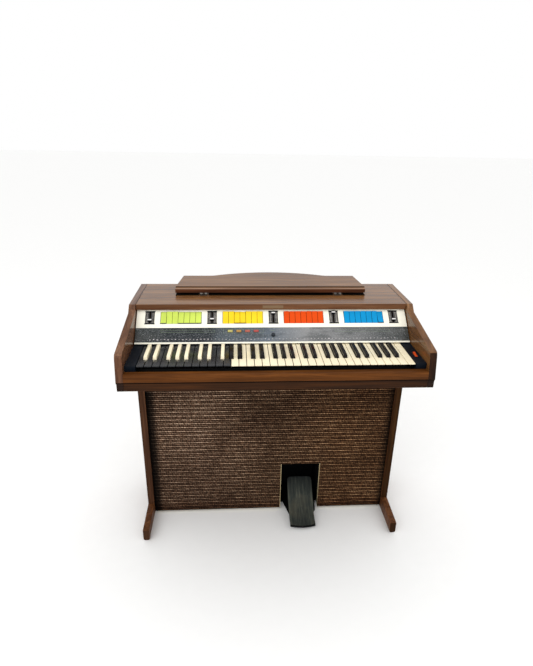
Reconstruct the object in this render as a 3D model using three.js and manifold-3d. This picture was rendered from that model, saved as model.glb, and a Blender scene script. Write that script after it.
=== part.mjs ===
// Console electronic organ with one manual of 61 keys, a slanted control panel,
// a folding music rest and a swell pedal set in a cloth-covered board between two legs.
// Millimetres. X runs to the player's right, Y from the player to the back, Z up from the floor.
import * as THREE from 'three';
import { mergeVertices } from 'three/addons/utils/BufferGeometryUtils.js';
import Module from 'manifold-3d';

const wasm = await Module();
wasm.setup();

// Driving dimensions of the case. Its width follows from the keyboard.
const half = 1 / 2;
const keyPitch = 23.5;
const naturalCount = 36;
const keyboardWidth = naturalCount * keyPitch;
const cheekWidth = 34; // from the keyboard to the side panel
const sideThickness = 22;
const caseWidth = keyboardWidth + 2 * (cheekWidth + sideThickness);
const caseDepth = 498;
const trayBottom = 671; // height of the case over the floor
const trayThickness = 26;
const trayInset = 1.4; // the tray stands back from the case all round
const caseRise = 154; // from the tray's top to the case top
const seatGap = 0.3; // between pieces that rest on each other
const cutOverrun = 2; // how far a cutter runs past what it cuts
const joinDepth = 1; // how far joined shapes run into each other

// Side panels.
const frontRise = 73;
const frontLean = 12;
const frontCornerDepth = 12;
const frontCornerRise = 16;
const slopeDrop = 22; // from the case top to the upper end of the long slope
const slopeStep = 22; // from the top's front edge forward to that end
const shadowGap = 2.5; // height of the groove under the side panels' and the rail's front faces
const shadowDepth = 6;

// Top board and music rest.
const topSetback = 264;
const topThickness = 20;
const restInset = 141; // from the case's outer face to the rest's front corner
const restFrontWidth = caseWidth - 2 * restInset;
const restTaper = 18; // from the front corner in to the shoulder
const restShoulderDepth = 129; // along the board, from the hinge line
const restArchShare = 0.6213; // of the rest's width
const restArchWidth = restFrontWidth * restArchShare;
const restArchRise = 40;
const restArchFillet = 14;
const restBoardThickness = 14;
const restTiltDegrees = 3;
const restHingeSetback = 107; // from the top board's front edge to the hinge line
const restHingeRise = 3.5; // hinge line over the case top
const lipDepth = 12;
const lipHeight = 13; // of its front face
const lipFloor = 2.6; // underside of the lip, over the hinge line
const lipOverhang = 1;
const boardFloor = 7.9; // underside of the board, over the hinge line
const hingeSpan = 25;
const hingeInset = 99; // from the rest's front corner to the hinge's middle
const hingeSpacing = restFrontWidth - 2 * hingeInset;
const hingeBarrelRadius = 2.2;
const hingeBarrelLength = 8;
const hingeLeafThickness = 1.5;
const hingeBaseDepth = 16;
const hingeLeafDepth = 10.5;
const hingeLeafInset = 2.6;
const bufferRadius = 8;
const bufferInset = 128; // from the rest's front corner to the buffer's middle
const bufferReach = 107; // from the hinge line to the buffers' middles

// Keyboard.
const keyGap = 1;
const keyRise = 43; // top of the naturals over the tray
const naturalThickness = 16; // from the top of a key to the underside of its arm
const naturalPlate = 3.6; // thickness of its top plate, bare at the front
const naturalFront = 29;
const naturalArmFront = 62;
const naturalArmWidth = 12;
const sharpFront = 74;
const sharpRise = 10; // over the naturals
const sharpWidth = 11;
const sharpSideGap = 1.2;
const sharpFrontSlope = 4;
const sharpPanelGap = 11; // from the sharps' raised ends to the panel's lower edge
const sharpTailDrop = 3; // the sharps' tails lie this far under the naturals' tops
const sharpFaceDrop = 1; // top of the sharps' upright front, under the naturals' tops
const keyPivotReach = 57; // from the panel's lower edge back to the pivot line
const keyTailLength = 8; // behind the pivot line
const keyDipDegrees = 2.8;
const naturalBarSetback = 35; // from the pivot line to the middle of the naturals' bar
const naturalBarHeight = 12;
const combBarDepth = 10;
const sharpNotch = 5; // height of the sharps' notch over the naturals' bar
const sharpBarSetback = 22;
const sharpBarHeight = 6;
const sharpBarClearance = 2.5; // sharps' bar over the naturals

// Key chassis.
const chassisThickness = 3;
const chassisFront = 40;
const pivotRailWidth = 10;
const pivotEdgeDrop = 5.5;
const chassisRear = 18; // behind the pivot line
const stopRailFront = 58;
const stopRailWidth = 8;

// Front rail and cheek blocks.
const railHeight = 27;
const railDepth = 25;
const railCorner = 4;
const cheekFront = 27;
const cheekBack = 190;
const cheekHeight = 29;
const cheekRise = 1; // over the naturals' tops

// Power rocker in the right cheek block.
const rockerSetback = 90;
const rockerLength = 30;
const rockerWidth = 8;
const rockerGap = 0.6;
const rockerInset = 15; // from the case's inner face to the rocker's middle
const rockerProud = 1.4;
const rockerDepth = 14;
const rockerTiltDegrees = 6;

// Slanted control panel, measured down the slope from its top edge.
const panelSetback = 11; // behind the top board's front edge
const panelTopGap = 2; // under the top board
const panelKeyGap = 5; // over the naturals
const panelEndGap = 2.5; // beside the panel
const panelRun = 96; // level distance from the panel's top edge to its bottom edge
const fasciaDepth = 69;
const fasciaThickness = 2.5;
const glassThickness = 3;
const trimDepth = 5.5;
const trimProud = 1;
const subPanelThickness = 2;
const subPanelMargin = 3;
const panelDepth = 20; // reach of the cutters through the panel
const controlShare = 0.2431; // pitch of the sliders and of the tab banks, of the keyboard's width
const controlPitch = keyboardWidth * controlShare;
const sliderCount = 5;
const windowTop = 4.5;
const sliderWindowLength = 51;
const sliderWindowWidth = 33.5;
const sliderSlotWidth = 4.4;
const sliderSlotMargin = 4;
const sliderStemWidth = 3.4;
const sliderStemDepth = 3;
const sliderStemReach = 8;
const sliderKnobWidth = 13;
const sliderKnobLength = 9;
const sliderKnobHeight = 8;
const sliderKnobTaper = 1.5;
const sliderRestShares = [0.71, 0.656, 0.214, 0.186, 0.72]; // place of each knob along its window

// Rocker tabs.
const tabCount = 7;
const tabShare = 0.0935; // pitch of the tabs, of the banks' pitch
const tabPitch = controlPitch * tabShare;
const tabGap = 0.8;
const tabLength = 44;
const tabDrop = 1.4; // of the tabs' middle line, under the slider windows' middle
const tabEndGap = 0.7;
const tabTiltDegrees = 5;
const tabThickness = 3;
const tabHollow = 1.4; // dip of the tab's middle under its ends
const tabPivotLift = 1.2; // over the fascia's face
const tabStemDepth = 12;
const tabStemWidth = 4;
const tabStemOffset = 3.4; // from the pivot line to the stem's middle
const tabBarHeight = 4;

// Push buttons and rotary knob in the glass fascia.
const buttonCount = 4;
const buttonShare = 0.139; // pitch of the buttons, of the sliders' pitch
const buttonPitch = controlPitch * buttonShare;
const buttonFirstShare = 0.705; // from the middle of the organ to the first button, of the sliders' pitch
const buttonFirst = -controlPitch * buttonFirstShare;
const buttonWidth = 16;
const buttonLength = 7.5;
const buttonDrop = 82.5; // down the slope
const buttonGap = 0.5;
const buttonProud = 2.6;
const buttonTravel = 1.8;
const buttonFlange = 1.5;
const buttonFlangeThickness = 2;
const knobOffset = -3;
const knobDrop = 98;
const knobRadius = 6.6;
const knobTopRadius = 5.8;
const knobHeight = 9;
const knobShaftRadius = 3;
const knobShaftGap = 0.4;
const knobShaftReach = 7;

// Stand.
const legInset = 12; // from the case's outer face to the leg's
const legThickness = 22.5;
const legFront = 219;
const legBack = 430;
const footFront = 90;
const footBack = 480;
const footNoseHeight = 47;
const footRise = 8;
const footCorner = 4;
const footNoseCorner = 4;

// Cloth-covered board between the legs.
const clothFront = 226;
const clothThickness = 1.2;
const boardThickness = 12;
const boardLift = 13; // over the floor
const cutoutReach = 78; // from the pedal's middle to the cutout's left edge
const cutoutWidth = 148;
const cutoutTop = 222;
const soundSlotCount = 5;
const soundSlotWidth = 18;
const soundSlotPitch = 26;
const soundSlotLength = 120;
const speakerOffset = -240;
const speakerHeight = 400;
const speakerRadius = 82;
const speakerConeRadius = 68;
const speakerFlange = 4;
const speakerBasketDepth = 42;
const speakerConeDepth = 24;
const speakerMagnetRadius = 38;
const speakerMagnetDepth = 20;
const speakerCapRadius = 22;
const speakerCapRise = 6;

// Swell pedal.
const pedalMiddle = 121;
const cutoutLeft = pedalMiddle - cutoutReach;
const pedalWidth = 95;
const pedalHeel = 118; // front end of the tread
const pedalHeelHeight = 26;
const pedalRadius = 241;
const pedalHeelDegrees = 5.7;
const pedalToeDegrees = 51.5;
const pedalRubberThickness = 4;
const pedalPlateThickness = 6;
const pedalRubberInset = 2;
const pedalRibCount = 9;
const pedalRibHeight = 1.4;
const pedalAxleSetback = 232;
const pedalAxleHeight = 36;
const pedalAxleRadius = 4;
const pedalHubRadius = 9;
const pedalHubWidth = 58;
const pedalEarThickness = 4;
const pedalEarWidth = 20;
const pedalEarRise = 8; // over the axle
const pedalEarGap = 0.4;
const pedalAxleProud = 3;
const housingWall = 3;
const housingMargin = 2; // inner face beyond the cutout's edge
const housingDepth = 150;
const housingLift = 5;
const footPlateFront = 198;
const footPlateBack = 266; // where the plate widens to the housing's floor
const footPlateCornerBack = 17; // from its front edge to its right front corner
const footPlateReach = 64.5; // of its back end, to each side of the pedal's middle
const footPlateLeft = 46; // reach of its front edge to the left
const footPlateRight = 51;
const footPlateCornerReach = 61;

// Backs and inner pieces.
const backThickness = 9;
const backInset = 1;
const ventCount = 7;
const ventLength = 60;
const ventPitch = 80;
const ventHeight = 6;
const ventDrop = 38;
const lowerBackThickness = 4;
const lowerBackInset = 24; // from the legs' back edges
const lowerBackLift = 20;
const inletInset = 77; // from the side panel's inner face to the inlet's middle
const inletWidth = 27;
const inletHeight = 20;
const inletRise = 40;
const inletFlange = 4;
const inletFlangeThickness = 2.5;
const inletDepth = 24;
const circuitWidth = 420;
const circuitFrontGap = 54; // behind the key chassis
const circuitThickness = 2;
const circuitRise = 9;
const circuitPost = 8;
const circuitOffset = -90;
const circuitRearGap = 30;
const chipWidth = 34;
const chipDepth = 14;
const chipHeight = 6;
const chipPitch = 62;
const chipCount = 5;
const coreWidth = 72;
const coreDepth = 34;
const coreHeight = 60;
const coilWidth = 44;
const coilDepth = 56;
const coilHeight = 38;
const coreInset = 157; // from the side panel's inner face to the transformer's middle

// Facets.
const archSteps = 12;
const cornerSteps = 4;
const roundSteps = 20;
const treadSteps = 8;

// Worked-out places.
const degrees = Math.PI / 180;
const caseHalf = caseWidth * half;
const innerHalf = caseHalf - sideThickness;
const trayTop = trayBottom + trayThickness;
const caseTop = trayTop + caseRise;
const topUnderside = caseTop - topThickness;
const keyTop = trayTop + keyRise;
const keyboardHalf = keyboardWidth * half;
const panelFront = topSetback + panelSetback - panelRun; // the slanted panel's lower edge
const keyPivotSetback = panelFront + keyPivotReach;
const chassisBack = keyPivotSetback + chassisRear;
const inletOffset = innerHalf - inletInset;
const coreOffset = innerHalf - coreInset;

const walnut = new THREE.MeshStandardMaterial({ color: 0x6b4226, roughness: 0.35, metalness: 0 });
const blackPlastic = new THREE.MeshStandardMaterial({ color: 0x1c1f21, roughness: 0.35, metalness: 0 });
const creamPlastic = new THREE.MeshStandardMaterial({ color: 0xf4e6c4, roughness: 0.3, metalness: 0 });
const creamPaint = new THREE.MeshStandardMaterial({ color: 0xfbf8e6, roughness: 0.45, metalness: 0 });
const smokedGlass = new THREE.MeshStandardMaterial({ color: 0x3c464e, roughness: 0.08, metalness: 0 });
const greenPlastic = new THREE.MeshStandardMaterial({ color: 0xc6e25c, roughness: 0.4, metalness: 0 });
const yellowPlastic = new THREE.MeshStandardMaterial({ color: 0xfddc35, roughness: 0.4, metalness: 0 });
const orangePlastic = new THREE.MeshStandardMaterial({ color: 0xe85a1e, roughness: 0.4, metalness: 0 });
const bluePlastic = new THREE.MeshStandardMaterial({ color: 0x1aa0d8, roughness: 0.4, metalness: 0 });
const redPlastic = new THREE.MeshStandardMaterial({ color: 0xc8372d, roughness: 0.4, metalness: 0 });
const pinkPlastic = new THREE.MeshStandardMaterial({ color: 0xe0706a, roughness: 0.4, metalness: 0 });
const grilleCloth = new THREE.MeshStandardMaterial({ color: 0x5a4032, roughness: 0.95, metalness: 0 });
const bareBoard = new THREE.MeshStandardMaterial({ color: 0xa58a63, roughness: 0.85, metalness: 0 });
const steel = new THREE.MeshStandardMaterial({ color: 0xa8abae, roughness: 0.4, metalness: 0.9 });
const blackSteel = new THREE.MeshStandardMaterial({ color: 0x17191a, roughness: 0.5, metalness: 0.4 });
const rubber = new THREE.MeshStandardMaterial({ color: 0x2f3331, roughness: 0.85, metalness: 0 });
const circuitGreen = new THREE.MeshStandardMaterial({ color: 0x2f6b3c, roughness: 0.5, metalness: 0 });

const organ = new THREE.Group();
const basisSide = new THREE.Matrix4().makeBasis(
  new THREE.Vector3(0, 1, 0), new THREE.Vector3(0, 0, 1), new THREE.Vector3(1, 0, 0));
const basisFront = new THREE.Matrix4().makeBasis(
  new THREE.Vector3(1, 0, 0), new THREE.Vector3(0, 0, 1), new THREE.Vector3(0, -1, 0));

// A closed solid for joining and cutting.
function solid(geometry) {
  const bare = geometry.clone();
  bare.deleteAttribute('normal');
  bare.deleteAttribute('uv');
  const merged = mergeVertices(bare);
  return new wasm.Manifold(new wasm.Mesh({
    numProp: 3,
    vertProperties: new Float32Array(merged.attributes.position.array),
    triVerts: new Uint32Array(merged.index.array),
  }));
}

function geometryOf(manifold) {
  const mesh = manifold.getMesh();
  const geometry = new THREE.BufferGeometry();
  geometry.setAttribute('position', new THREE.BufferAttribute(new Float32Array(mesh.vertProperties), 3));
  geometry.setIndex(new THREE.BufferAttribute(new Uint32Array(mesh.triVerts), 1));
  geometry.computeVertexNormals();
  return geometry;
}

function joined(geometries) {
  return geometryOf(geometries.map(solid).reduce((sum, next) => sum.add(next)));
}

function cut(geometry, cutters) {
  return geometryOf(cutters.map(solid).reduce((rest, next) => rest.subtract(next), solid(geometry)));
}

// A block between two corners.
function block(low, high) {
  const geometry = new THREE.BoxGeometry(high[0] - low[0], high[1] - low[1], high[2] - low[2]);
  return geometry.translate((low[0] + high[0]) * half, (low[1] + high[1]) * half, (low[2] + high[2]) * half);
}

function outline(points) {
  return new THREE.Shape(points.map(([across, up]) => new THREE.Vector2(across, up)));
}

// A flat shape given as width and height, standing up and thickened from front to back.
function standing(shape, front, back) {
  const geometry = new THREE.ExtrudeGeometry(shape, {
    depth: back - front, bevelEnabled: false, curveSegments: archSteps,
  });
  return geometry.applyMatrix4(basisFront).translate(0, back, 0);
}

// A side view given as depth and height, thickened from left to right.
function sideways(shape, left, right) {
  const geometry = new THREE.ExtrudeGeometry(shape, {
    depth: right - left, bevelEnabled: false, curveSegments: cornerSteps,
  });
  return geometry.applyMatrix4(basisSide).translate(left, 0, 0);
}

// A plan view given as width and depth, thickened upwards.
function lying(shape, bottom, top) {
  const geometry = new THREE.ExtrudeGeometry(shape, {
    depth: top - bottom, bevelEnabled: false, curveSegments: archSteps,
  });
  return geometry.translate(0, 0, bottom);
}

// A rod along X between two ends, with its middle at the given depth and height.
function rodAlongX(radius, left, right, depth, height) {
  const geometry = new THREE.CylinderGeometry(radius, radius, right - left, roundSteps);
  return geometry.rotateZ(90 * degrees).translate((left + right) * half, depth, height);
}

function add(name, geometry, material, parent = organ) {
  const mesh = new THREE.Mesh(geometry, material);
  mesh.name = name;
  parent.add(mesh);
  return mesh;
}

function turned(points, angle) {
  return points.map(([across, up]) => [
    across * Math.cos(angle) - up * Math.sin(angle),
    across * Math.sin(angle) + up * Math.cos(angle),
  ]);
}

// Case: side panels, tray with its side strips, top board and back.
function sideOutline() {
  const shape = new THREE.Shape();
  const bottom = trayTop + seatGap;
  const cornerHeight = trayTop + frontRise;
  const slopeEnd = caseTop - slopeDrop;
  const slopeStart = frontLean + frontCornerDepth;
  const slopeStartHeight = cornerHeight + frontCornerRise;
  const steepness = (slopeEnd - slopeStartHeight) / (topSetback - slopeStep - slopeStart);
  const apex = frontLean * (1 + frontCornerRise / frontRise);
  const apexHeight = slopeStartHeight - steepness * (slopeStart - apex);
  shape.moveTo(0, bottom + shadowGap);
  shape.lineTo(shadowDepth, bottom + shadowGap);
  shape.lineTo(shadowDepth, bottom);
  shape.lineTo(caseDepth, bottom);
  shape.lineTo(caseDepth, caseTop);
  shape.lineTo(topSetback, caseTop);
  shape.lineTo(topSetback - slopeStep, slopeEnd);
  shape.lineTo(slopeStart, slopeStartHeight);
  shape.quadraticCurveTo(apex, apexHeight, frontLean, cornerHeight);
  return shape;
}

function addCase() {
  for (const [side, sign] of [['left', -1], ['right', 1]]) {
    const left = Math.min(sign * innerHalf, sign * caseHalf);
    const right = Math.max(sign * innerHalf, sign * caseHalf);
    add(`side_panel_${side}`, sideways(sideOutline(), left, right), walnut);
    const strip = block(
      [Math.max(left, trayInset - caseHalf), trayInset, trayBottom],
      [Math.min(right, caseHalf - trayInset), caseDepth - trayInset, trayTop]);
    add(`tray_side_${side}`, strip, walnut);
  }
  const fitHalf = innerHalf - seatGap;
  const tray = block([-fitHalf, trayInset, trayBottom], [fitHalf, caseDepth - trayInset, trayTop]);
  add('tray_board', tray, walnut);
  add('top_board', block([-fitHalf, topSetback, topUnderside], [fitHalf, caseDepth, caseTop]), walnut);
  add('rear_cover', rearCover(fitHalf), walnut);
  addFrontRail(fitHalf);
}

function rearCover(fitHalf) {
  const back = caseDepth - backInset;
  const front = back - backThickness;
  const plate = block([-fitHalf, front, trayTop + seatGap], [fitHalf, back, topUnderside - seatGap]);
  const low = trayTop + inletRise - seatGap;
  const reach = inletWidth * half + seatGap;
  const opening = block(
    [inletOffset - reach, front - cutOverrun, low],
    [inletOffset + reach, back + cutOverrun, low + inletHeight + seatGap + seatGap]);
  return cut(plate, [...vents(front, back, topUnderside - ventDrop), opening]);
}

// Cutters for a row of air slots under the given height.
function vents(front, back, top) {
  return Array.from({ length: ventCount }, (_, i) => {
    const middle = (i - (ventCount - 1) * half) * ventPitch;
    return block(
      [middle - ventLength * half, front - cutOverrun, top - ventHeight],
      [middle + ventLength * half, back + cutOverrun, top]);
  });
}

function addFrontRail(fitHalf) {
  const shape = new THREE.Shape();
  const top = trayTop + railHeight;
  shape.moveTo(0, trayTop + seatGap + shadowGap);
  shape.lineTo(shadowDepth, trayTop + seatGap + shadowGap);
  shape.lineTo(shadowDepth, trayTop + seatGap);
  shape.lineTo(railDepth, trayTop + seatGap);
  shape.lineTo(railDepth, top);
  shape.lineTo(railCorner, top);
  shape.quadraticCurveTo(0, top, 0, top - railCorner);
  add('front_rail', sideways(shape, -fitHalf, fitHalf), walnut);
}

// Cheek blocks at the ends of the keyboard, the right one with the power rocker.
function addCheekBlocks() {
  const inner = keyboardHalf + keyGap;
  const outer = innerHalf - seatGap;
  const top = keyTop + cheekRise;
  const bottom = top - cheekHeight;
  add('cheek_block_left', block([-outer, cheekFront, bottom], [-inner, cheekBack, top]), blackPlastic);
  const middle = innerHalf - rockerInset;
  const wellHalf = rockerWidth * half + rockerGap;
  const wellReach = rockerLength * half + rockerGap;
  const well = block(
    [middle - wellHalf, rockerSetback - wellReach, bottom - cutOverrun],
    [middle + wellHalf, rockerSetback + wellReach, top + cutOverrun]);
  const cheek = block([inner, cheekFront, bottom], [outer, cheekBack, top]);
  add('cheek_block_right', cut(cheek, [well]), blackPlastic);
  const reach = rockerLength * half - rockerGap;
  const rise = reach * Math.tan(rockerTiltDegrees * degrees);
  const profile = [
    [-reach, 0], [-reach * half, -rockerDepth], [reach * half, -rockerDepth], [reach, 0],
    [reach, rockerProud + rise], [0, rockerProud], [-reach, rockerProud + rise]];
  const tilted = turned(profile, rockerTiltDegrees * degrees);
  const rocker = sideways(outline(tilted), -rockerWidth * half, rockerWidth * half);
  add('power_rocker', rocker, orangePlastic).position.set(middle, rockerSetback, top);
}

// Keyboard. Notes count up from the lowest C; the lowest twenty have their colours reversed.
const reversedNaturals = 12;
const naturalsToMiddle = 21;
const octaveNaturals = 7;
const lowerNaturals = 3; // from C to E
const lowerSharpShares = [0.3, 0.7]; // middles of the sharps across C to E
const upperSharpShares = [0.214, 0.5, 0.786]; // middles of the sharps across F to B
const sharpNeighbours = [0, 1, 3, 4, 5]; // natural on the left of each sharp

// Middles of the five sharps of an octave, from its left edge.
function sharpMiddles() {
  const lower = lowerNaturals * keyPitch;
  const upper = octaveNaturals * keyPitch - lower;
  return [
    ...lowerSharpShares.map((share) => share * lower),
    ...upperSharpShares.map((share) => lower + share * upper)];
}

// Every sharp as the index of the natural on its left and its middle across the keyboard.
function allSharps() {
  const sharps = [];
  for (let first = 0; first + octaveNaturals <= naturalCount; first += octaveNaturals) {
    sharpMiddles().forEach((middle, i) => sharps.push({
      natural: first + sharpNeighbours[i],
      middle: first * keyPitch + middle - keyboardHalf,
    }));
  }
  return sharps;
}

// Top plate of a natural and the arm under it.
function naturalKey(index, sharps) {
  const left = index * keyPitch - keyboardHalf + keyGap * half;
  const right = left + keyPitch - keyGap;
  const notch = sharpWidth * half + sharpSideGap;
  const sharpOnLeft = sharps.find((sharp) => sharp.natural === index - 1);
  const sharpOnRight = sharps.find((sharp) => sharp.natural === index);
  const shoulder = sharpFront - sharpSideGap;
  const back = keyPivotSetback + keyTailLength;
  const neckLeft = sharpOnLeft ? sharpOnLeft.middle + notch : left;
  const neckRight = sharpOnRight ? sharpOnRight.middle - notch : right;
  const points = [[left, naturalFront], [right, naturalFront]];
  if (sharpOnRight) {
    points.push([right, shoulder], [neckRight, shoulder]);
  }
  points.push([neckRight, back], [neckLeft, back]);
  if (sharpOnLeft) {
    points.push([neckLeft, shoulder], [left, shoulder]);
  }
  const armMiddle = (neckLeft + neckRight) * half;
  const plateBottom = keyTop - naturalPlate;
  return [
    lying(outline(points), plateBottom, keyTop),
    block(
      [armMiddle - naturalArmWidth * half, naturalArmFront, keyTop - naturalThickness],
      [armMiddle + naturalArmWidth * half, back - joinDepth, plateBottom + joinDepth])];
}

function naturalComb(first, count, sharps) {
  const keys = [];
  for (let index = first; index < first + count; index += 1) {
    keys.push(...naturalKey(index, sharps));
  }
  const bottom = keyTop - naturalThickness;
  const middle = keyPivotSetback - naturalBarSetback;
  const left = first * keyPitch - keyboardHalf + keyGap;
  const right = (first + count) * keyPitch - keyboardHalf - keyGap;
  keys.push(block(
    [left, middle - combBarDepth * half, bottom - naturalBarHeight],
    [right, middle + combBarDepth * half, bottom + joinDepth]));
  return joined(keys);
}

function sharpOutline() {
  const bottom = keyTop - naturalThickness;
  const back = keyPivotSetback + keyTailLength;
  const notchMiddle = keyPivotSetback - naturalBarSetback;
  const notchFront = notchMiddle - combBarDepth;
  const notchBack = notchMiddle + combBarDepth;
  const notchTop = bottom + sharpNotch;
  const tailTop = keyTop - sharpTailDrop;
  const barMiddle = keyPivotSetback - sharpBarSetback;
  const towerTop = keyTop + sharpBarClearance + sharpBarHeight;
  const topEnd = panelFront - sharpPanelGap;
  return outline([
    [sharpFront, bottom], [notchFront, bottom], [notchFront, notchTop], [notchBack, notchTop],
    [notchBack + sharpNotch, bottom], [back, bottom], [back, tailTop],
    [barMiddle + combBarDepth * half, tailTop], [barMiddle + combBarDepth * half, towerTop],
    [barMiddle - combBarDepth * half, towerTop], [barMiddle - combBarDepth * half, tailTop],
    [topEnd, tailTop], [topEnd, keyTop + sharpRise],
    [sharpFront + sharpFrontSlope, keyTop + sharpRise], [sharpFront, keyTop - sharpFaceDrop]]);
}

function sharpComb(sharps) {
  const keys = sharps.map((sharp) => sideways(
    sharpOutline(), sharp.middle - sharpWidth * half, sharp.middle + sharpWidth * half));
  const middle = keyPivotSetback - sharpBarSetback;
  const bottom = keyTop + sharpBarClearance;
  keys.push(block(
    [sharps[0].middle, middle - combBarDepth * half + joinDepth, bottom],
    [sharps.at(-1).middle, middle + combBarDepth * half - joinDepth, bottom + sharpBarHeight - joinDepth]));
  return joined(keys);
}

function addKeyboard() {
  const sharps = allSharps();
  const lowCount = naturalsToMiddle - reversedNaturals;
  const highCount = naturalCount - naturalsToMiddle;
  const between = (low, high) => sharps.filter(({ natural }) => natural >= low && natural < high);
  add('naturals_bass', naturalComb(0, reversedNaturals, sharps), blackPlastic);
  add('naturals_tenor', naturalComb(reversedNaturals, lowCount, sharps), creamPlastic);
  add('naturals_treble', naturalComb(naturalsToMiddle, highCount, sharps), creamPlastic);
  add('sharps_bass', sharpComb(between(0, reversedNaturals - 1)), creamPlastic);
  add('sharps_tenor', sharpComb(between(reversedNaturals - 1, naturalsToMiddle)), blackPlastic);
  add('sharps_treble', sharpComb(between(naturalsToMiddle, naturalCount)), blackPlastic);
  add('key_chassis', keyChassis(), steel);
}

// Folded steel chassis with a knife-edge pivot rail and a front stop rail.
function keyChassis() {
  const bottom = trayTop + seatGap;
  const floor = bottom + chassisThickness;
  const keyBottom = keyTop - naturalThickness;
  const edge = keyBottom - seatGap;
  const railHalf = pivotRailWidth * half;
  const dip = (keyPivotSetback - stopRailFront) * Math.sin(keyDipDegrees * degrees);
  const stopTop = keyBottom - dip - seatGap;
  const stopBack = stopRailFront + stopRailWidth;
  return sideways(outline([
    [chassisFront, bottom], [chassisBack, bottom], [chassisBack, floor],
    [keyPivotSetback + railHalf, floor], [keyPivotSetback + railHalf, edge - pivotEdgeDrop],
    [keyPivotSetback, edge], [keyPivotSetback - railHalf, edge - pivotEdgeDrop],
    [keyPivotSetback - railHalf, floor], [stopBack, floor], [stopBack, stopTop],
    [stopRailFront, stopTop], [stopRailFront, floor], [chassisFront, floor]]),
  -keyboardHalf, keyboardHalf);
}

// Slanted control panel. In its group Y runs up the slope and Z out of the face.
const panel = new THREE.Group();
const panelTopHeight = topUnderside - panelTopGap;
const panelDrop = panelTopHeight - (keyTop + panelKeyGap);
const panelLength = Math.hypot(panelRun, panelDrop);
panel.position.set(0, panelFront + panelRun, panelTopHeight);
panel.rotation.x = Math.atan2(panelDrop, panelRun);
organ.add(panel);

const panelHalf = innerHalf - panelEndGap;
const windowMiddle = windowTop + sliderWindowLength * half; // down the slope
const bankMiddle = windowMiddle + tabDrop;
const bankWidth = tabCount * tabPitch;
const tabWindowHalf = tabLength * half + tabEndGap;

function bankMiddles() {
  const count = sliderCount - 1;
  return Array.from({ length: count }, (_, i) => (i - (count - 1) * half) * controlPitch);
}

function sliderMiddles() {
  return Array.from({ length: sliderCount }, (_, i) => (i - (sliderCount - 1) * half) * controlPitch);
}

// A cutter through the panel's plates, given by its middle and its half width and half length.
function panelCutter(across, up, side, reach) {
  return block(
    [across - side, up - reach, -panelDepth], [across + side, up + reach, cutOverrun]);
}

function addPanelPlates() {
  const subTop = -fasciaThickness - seatGap;
  const fascia = block([-panelHalf, -fasciaDepth, -fasciaThickness], [panelHalf, 0, 0]);
  const subHalf = innerHalf - seatGap; // the sub-panel reaches the side panels and carries the rest
  const sub = block(
    [-subHalf, -fasciaDepth + subPanelMargin, subTop - subPanelThickness],
    [subHalf, -subPanelMargin * half, subTop]);
  const banks = bankMiddles().map((middle) => panelCutter(
    middle, -bankMiddle, bankWidth * half + tabGap, tabWindowHalf));
  const windows = sliderMiddles().map((middle) => panelCutter(
    middle, -windowMiddle, sliderWindowWidth * half, sliderWindowLength * half));
  const slots = sliderMiddles().map((middle) => panelCutter(
    middle, -windowMiddle, sliderSlotWidth * half, sliderWindowLength * half - sliderSlotMargin));
  add('control_fascia', cut(fascia, [...banks, ...windows]), creamPaint, panel);
  add('slider_panel', cut(sub, [...banks, ...slots]), blackPlastic, panel);
  addGlassFascia();
}

function addGlassFascia() {
  const top = -fasciaDepth - seatGap;
  const bottom = -panelLength + trimDepth + seatGap;
  const glass = block([-panelHalf, bottom, -glassThickness], [panelHalf, top, 0]);
  const cutters = buttonMiddles().map((middle) => panelCutter(
    middle, -buttonDrop, buttonWidth * half + buttonGap, buttonLength * half + buttonGap));
  const boreRadius = knobShaftRadius + knobShaftGap;
  const bore = new THREE.CylinderGeometry(boreRadius, boreRadius, panelDepth, roundSteps);
  cutters.push(bore.rotateX(90 * degrees).translate(knobOffset, -knobDrop, 0));
  add('glass_fascia', cut(glass, cutters), smokedGlass, panel);
  const trim = block(
    [-panelHalf, -panelLength, -glassThickness], [panelHalf, -panelLength + trimDepth, trimProud]);
  add('panel_trim', trim, creamPaint, panel);
}

function buttonMiddles() {
  return Array.from({ length: buttonCount }, (_, i) => buttonFirst + i * buttonPitch);
}

function addSliders() {
  const face = -fasciaThickness;
  sliderMiddles().forEach((middle, i) => {
    const knobHalf = sliderKnobLength * half;
    const cap = sideways(outline([
      [-knobHalf, 0], [knobHalf, 0],
      [knobHalf - sliderKnobTaper, sliderKnobHeight], [-knobHalf + sliderKnobTaper, sliderKnobHeight]]),
    -sliderKnobWidth * half, sliderKnobWidth * half);
    const stem = block(
      [-sliderStemWidth * half, -sliderStemDepth * half, -sliderStemReach],
      [sliderStemWidth * half, sliderStemDepth * half, joinDepth]);
    const down = windowTop + sliderWindowLength * sliderRestShares[i];
    const knob = add(`slider_knob_${i + 1}`, joined([cap, stem]), blackPlastic, panel);
    knob.position.set(middle, -down, face);
  });
}

// One rocker tab seen from the side, about its pivot line.
function tabOutline(tilt, stemMiddle) {
  const reach = tabLength * half;
  const stemHalf = tabStemWidth * half;
  const points = [
    [-reach, -tabThickness], [stemMiddle - stemHalf, -tabThickness],
    [stemMiddle - stemHalf, -tabStemDepth], [stemMiddle + stemHalf, -tabStemDepth],
    [stemMiddle + stemHalf, -tabThickness], [reach, -tabThickness],
    [reach, 0], [0, -tabHollow], [-reach, 0]];
  return outline(turned(points, tilt));
}

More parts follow.
